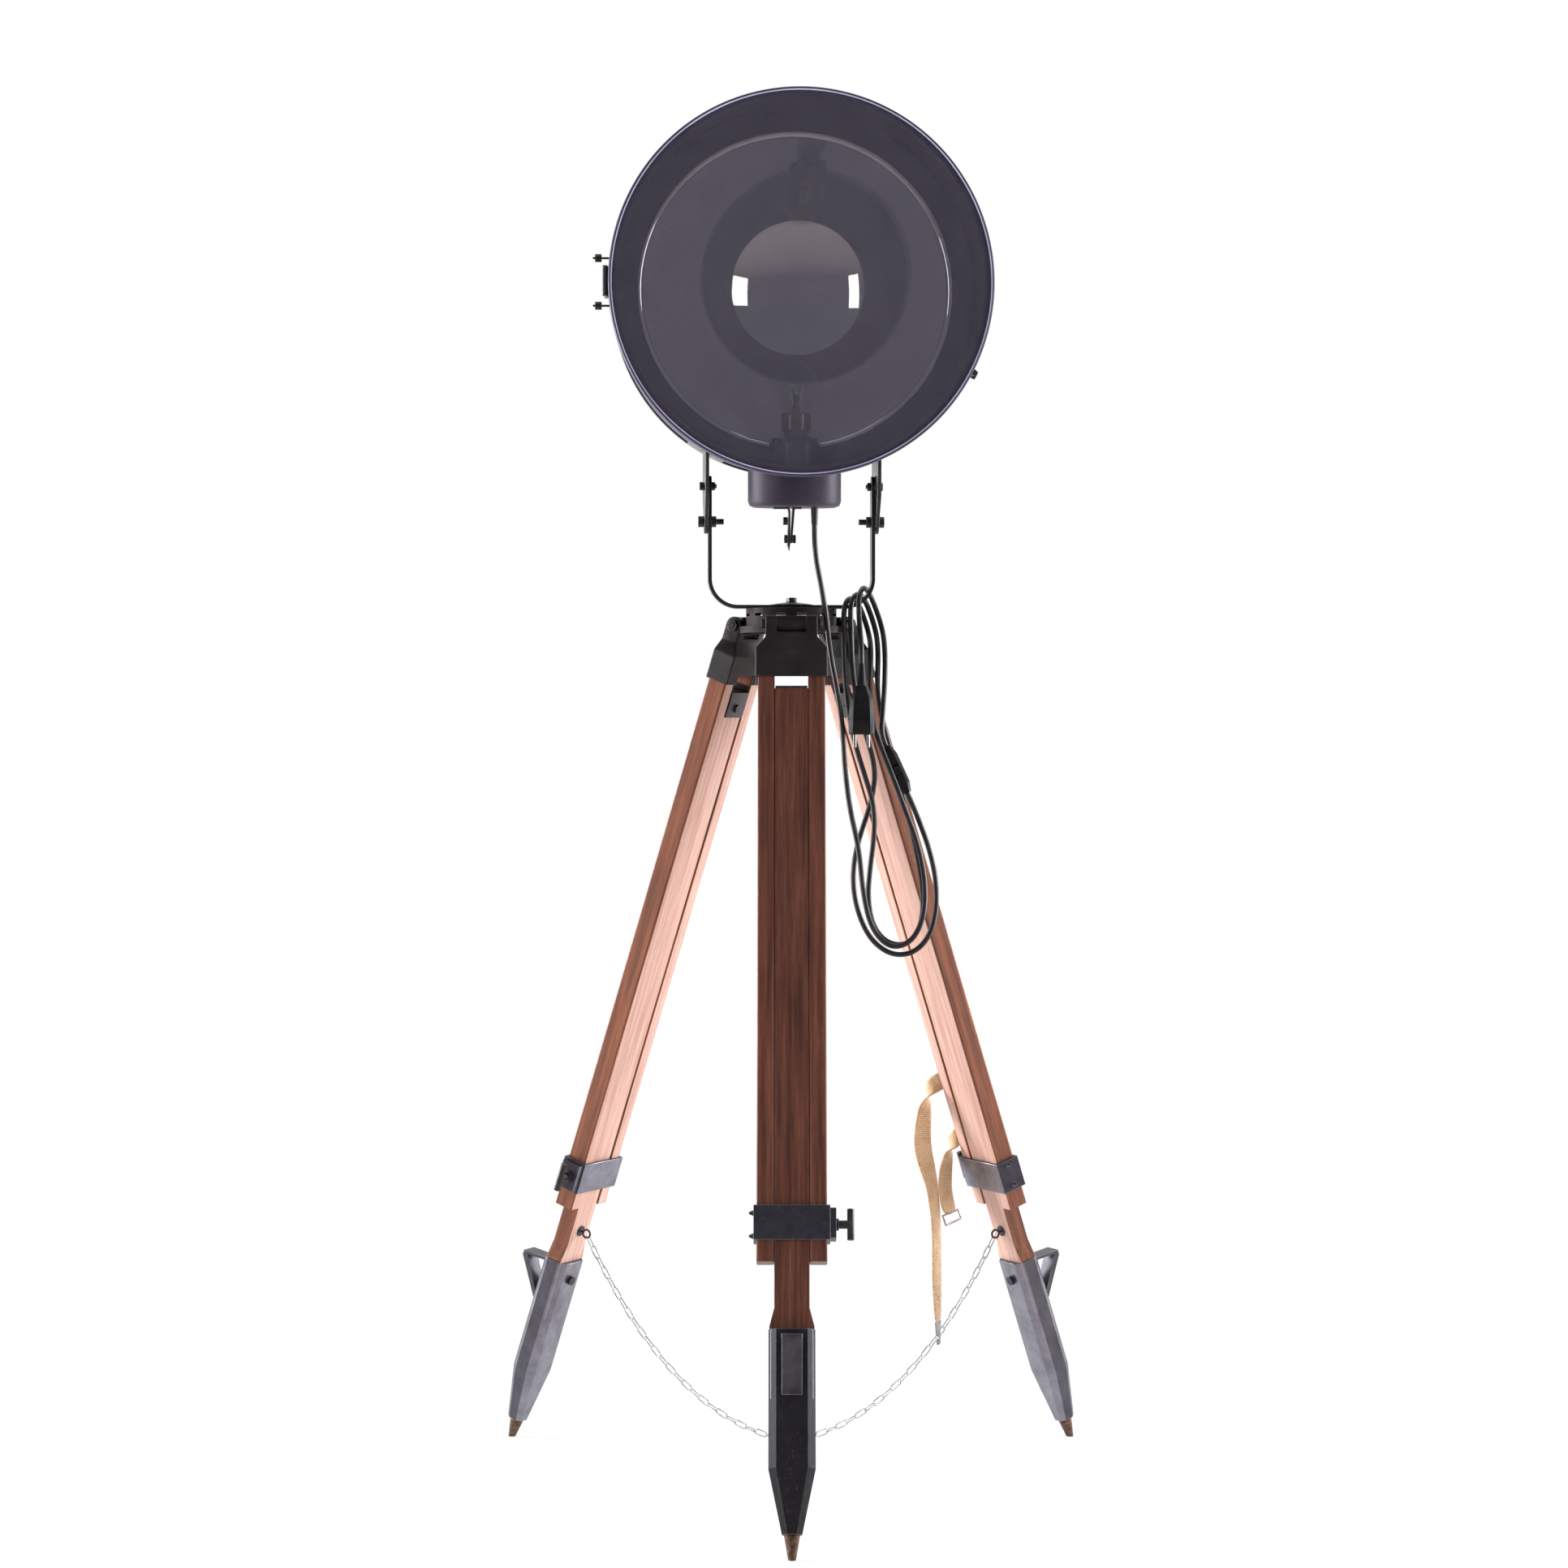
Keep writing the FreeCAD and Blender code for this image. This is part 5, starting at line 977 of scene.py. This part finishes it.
def stageFloor():
    shape = bmesh.new()
    bmesh.ops.create_grid(shape, x_segments=1, y_segments=1, size=studioLight["floorSize"])
    material, tree, shader, place = startMaterial("paleStudioFloor", Roughness=0.9)
    shader.inputs["Base Color"].default_value = linearColour(studioLight["floor"])
    light = addNode(tree, "ShaderNodeLightPath")
    away = addNode(tree, "ShaderNodeVectorMath", links={0: place}, operation="LENGTH").outputs["Value"]
    start, end = studioLight["shadowFade"]
    clear = addNode(tree, "ShaderNodeMapRange",
                    {"From Min": start, "From Max": end, "To Min": studioLight["shadowShown"]},
                    {"Value": away}, interpolation_type="SMOOTHSTEP").outputs["Result"]
    seen = addNode(tree, "ShaderNodeMath", links={0: light.outputs["Is Camera Ray"], 1: clear},
                   operation="MULTIPLY")
    # polished pieces see the white floor behind the lamp and a dimmer, warmer one in front of it
    depth = addNode(tree, "ShaderNodeSeparateXYZ", links={"Vector": place}).outputs["Y"]
    start, end = studioLight["whiteFade"]
    behind = addNode(tree, "ShaderNodeMapRange", {"From Min": start, "From Max": end}, {"Value": depth})
    sharp = addNode(tree, "ShaderNodeMath", operation="MAXIMUM",
                    links={0: light.outputs["Is Glossy Ray"], 1: light.outputs["Is Transmission Ray"]})
    start, end = studioLight["roomFade"]
    dim = addNode(tree, "ShaderNodeMapRange", {"From Min": start, "From Max": end}, {"Value": depth})
    warm = layerColour(tree, dim.outputs["Result"], linearColour(studioLight["floorFar"]),
                       linearColour(studioLight["floorNear"]))
    tone = layerColour(tree, behind.outputs["Result"], warm, (1, 1, 1, 1))
    colour = layerColour(tree, sharp.outputs[0], (1, 1, 1, 1), tone)
    glow = addNode(tree, "ShaderNodeEmission", {"Strength": 1.0}, {"Color": colour})
    given = addNode(tree, "ShaderNodeMath", links={0: seen.outputs[0], 1: sharp.outputs[0]},
                    operation="MAXIMUM")
    mixed = addNode(tree, "ShaderNodeMixShader", links={0: given.outputs[0], 1: shader.outputs["BSDF"],
                                                        2: glow.outputs["Emission"]})
    output = [n for n in tree.nodes if n.type == "OUTPUT_MATERIAL"][0]
    tree.links.new(mixed.outputs["Shader"], output.inputs["Surface"])
    meshPiece("studioFloor", meshFrom("studioFloor", shape, smooth=False), material)


def studioWorld():   # a white wall behind the lamp and a dim room in front of it
    world = bpy.data.worlds.new("studioWorld")
    bpy.context.scene.world = world
    world.use_nodes = True
    tree = world.node_tree
    tree.nodes.clear()
    direction = addNode(tree, "ShaderNodeTexCoord").outputs["Generated"]
    parts = addNode(tree, "ShaderNodeSeparateXYZ", links={"Vector": direction})
    start, end = studioLight["wallFade"]
    rear = addNode(tree, "ShaderNodeMapRange", {"From Min": start, "From Max": end},
                   {"Value": parts.outputs["Y"]}, interpolation_type="SMOOTHSTEP").outputs["Result"]
    levels = []
    for low, high in (("ahead", "behind"), ("diffuseAhead", "diffuseBehind")):
        reach = {"To Min": studioLight[low], "To Max": studioLight[high]}
        levels.append(addNode(tree, "ShaderNodeMapRange", reach, {"Value": rear}).outputs["Result"])
    mirrored, lit = levels
    path = addNode(tree, "ShaderNodeLightPath")
    sharp = addNode(tree, "ShaderNodeMath", operation="MAXIMUM",
                    links={0: path.outputs["Is Glossy Ray"], 1: path.outputs["Is Transmission Ray"]})
    blended = addNode(tree, "ShaderNodeMix", links={"Factor": sharp.outputs[0], 2: lit, 3: mirrored},
                      data_type="FLOAT").outputs[0]
    shown = addNode(tree, "ShaderNodeMix", {3: 1.0}, {"Factor": path.outputs["Is Camera Ray"], 2: blended},
                    data_type="FLOAT").outputs[0]
    back = addNode(tree, "ShaderNodeBackground", {"Color": (1, 1, 1, 1)}, {"Strength": shown})
    addNode(tree, "ShaderNodeOutputWorld", links={"Surface": back.outputs["Background"]})


lamps = {"windowRight": {"place": (3.45, -2.7, 1.55), "size": (0.95, 1.7), "power": 34},
         "windowLeft": {"place": (-3.15, -2.95, 1.55), "size": (0.5, 1.9), "power": 24},
         "sideRight": {"place": (3.4, 0.9, 1.2), "size": (1.4, 2.4), "power": 190},
         "sideLeft": {"place": (-3.4, 0.9, 1.2), "size": (1.4, 2.4), "power": 230},
         "overhead": {"place": (0.0, -0.4, 4.2), "size": (2.5, 2.5), "power": 30}}


def placeLamps():
    for name, facts in lamps.items():
        data = bpy.data.lights.new(name, "AREA")
        data.shape = "RECTANGLE"
        data.size, data.size_y = facts["size"]
        data.energy = facts["power"]
        lamp = bpy.data.objects.new(name, data)
        bpy.context.scene.collection.objects.link(lamp)
        lamp.location = facts["place"]
        aim = Vector((0, 0, studioLight["aimHeight"])) - Vector(facts["place"])
        lamp.rotation_euler = aim.to_track_quat("-Z", "Y").to_euler()


viewpoint = {"place": (-0.0103, -4.657, 1.078), "pitch": -1.2, "lens": 75.5,
             "sensor": 36.0}   # metres, degrees and mm


def placeCamera():
    data = bpy.data.cameras.new("photoView")
    data.lens = viewpoint["lens"]
    data.sensor_width = viewpoint["sensor"]
    camera = bpy.data.objects.new("photoView", data)
    bpy.context.scene.collection.objects.link(camera)
    camera.location = viewpoint["place"]
    camera.rotation_euler = Euler((math.radians(90 + viewpoint["pitch"]), 0, 0))
    bpy.context.scene.camera = camera


stageFloor()
studioWorld()
placeLamps()
placeCamera()
bpy.context.scene.view_settings.view_transform = "Standard"
print("scene: stage lit")
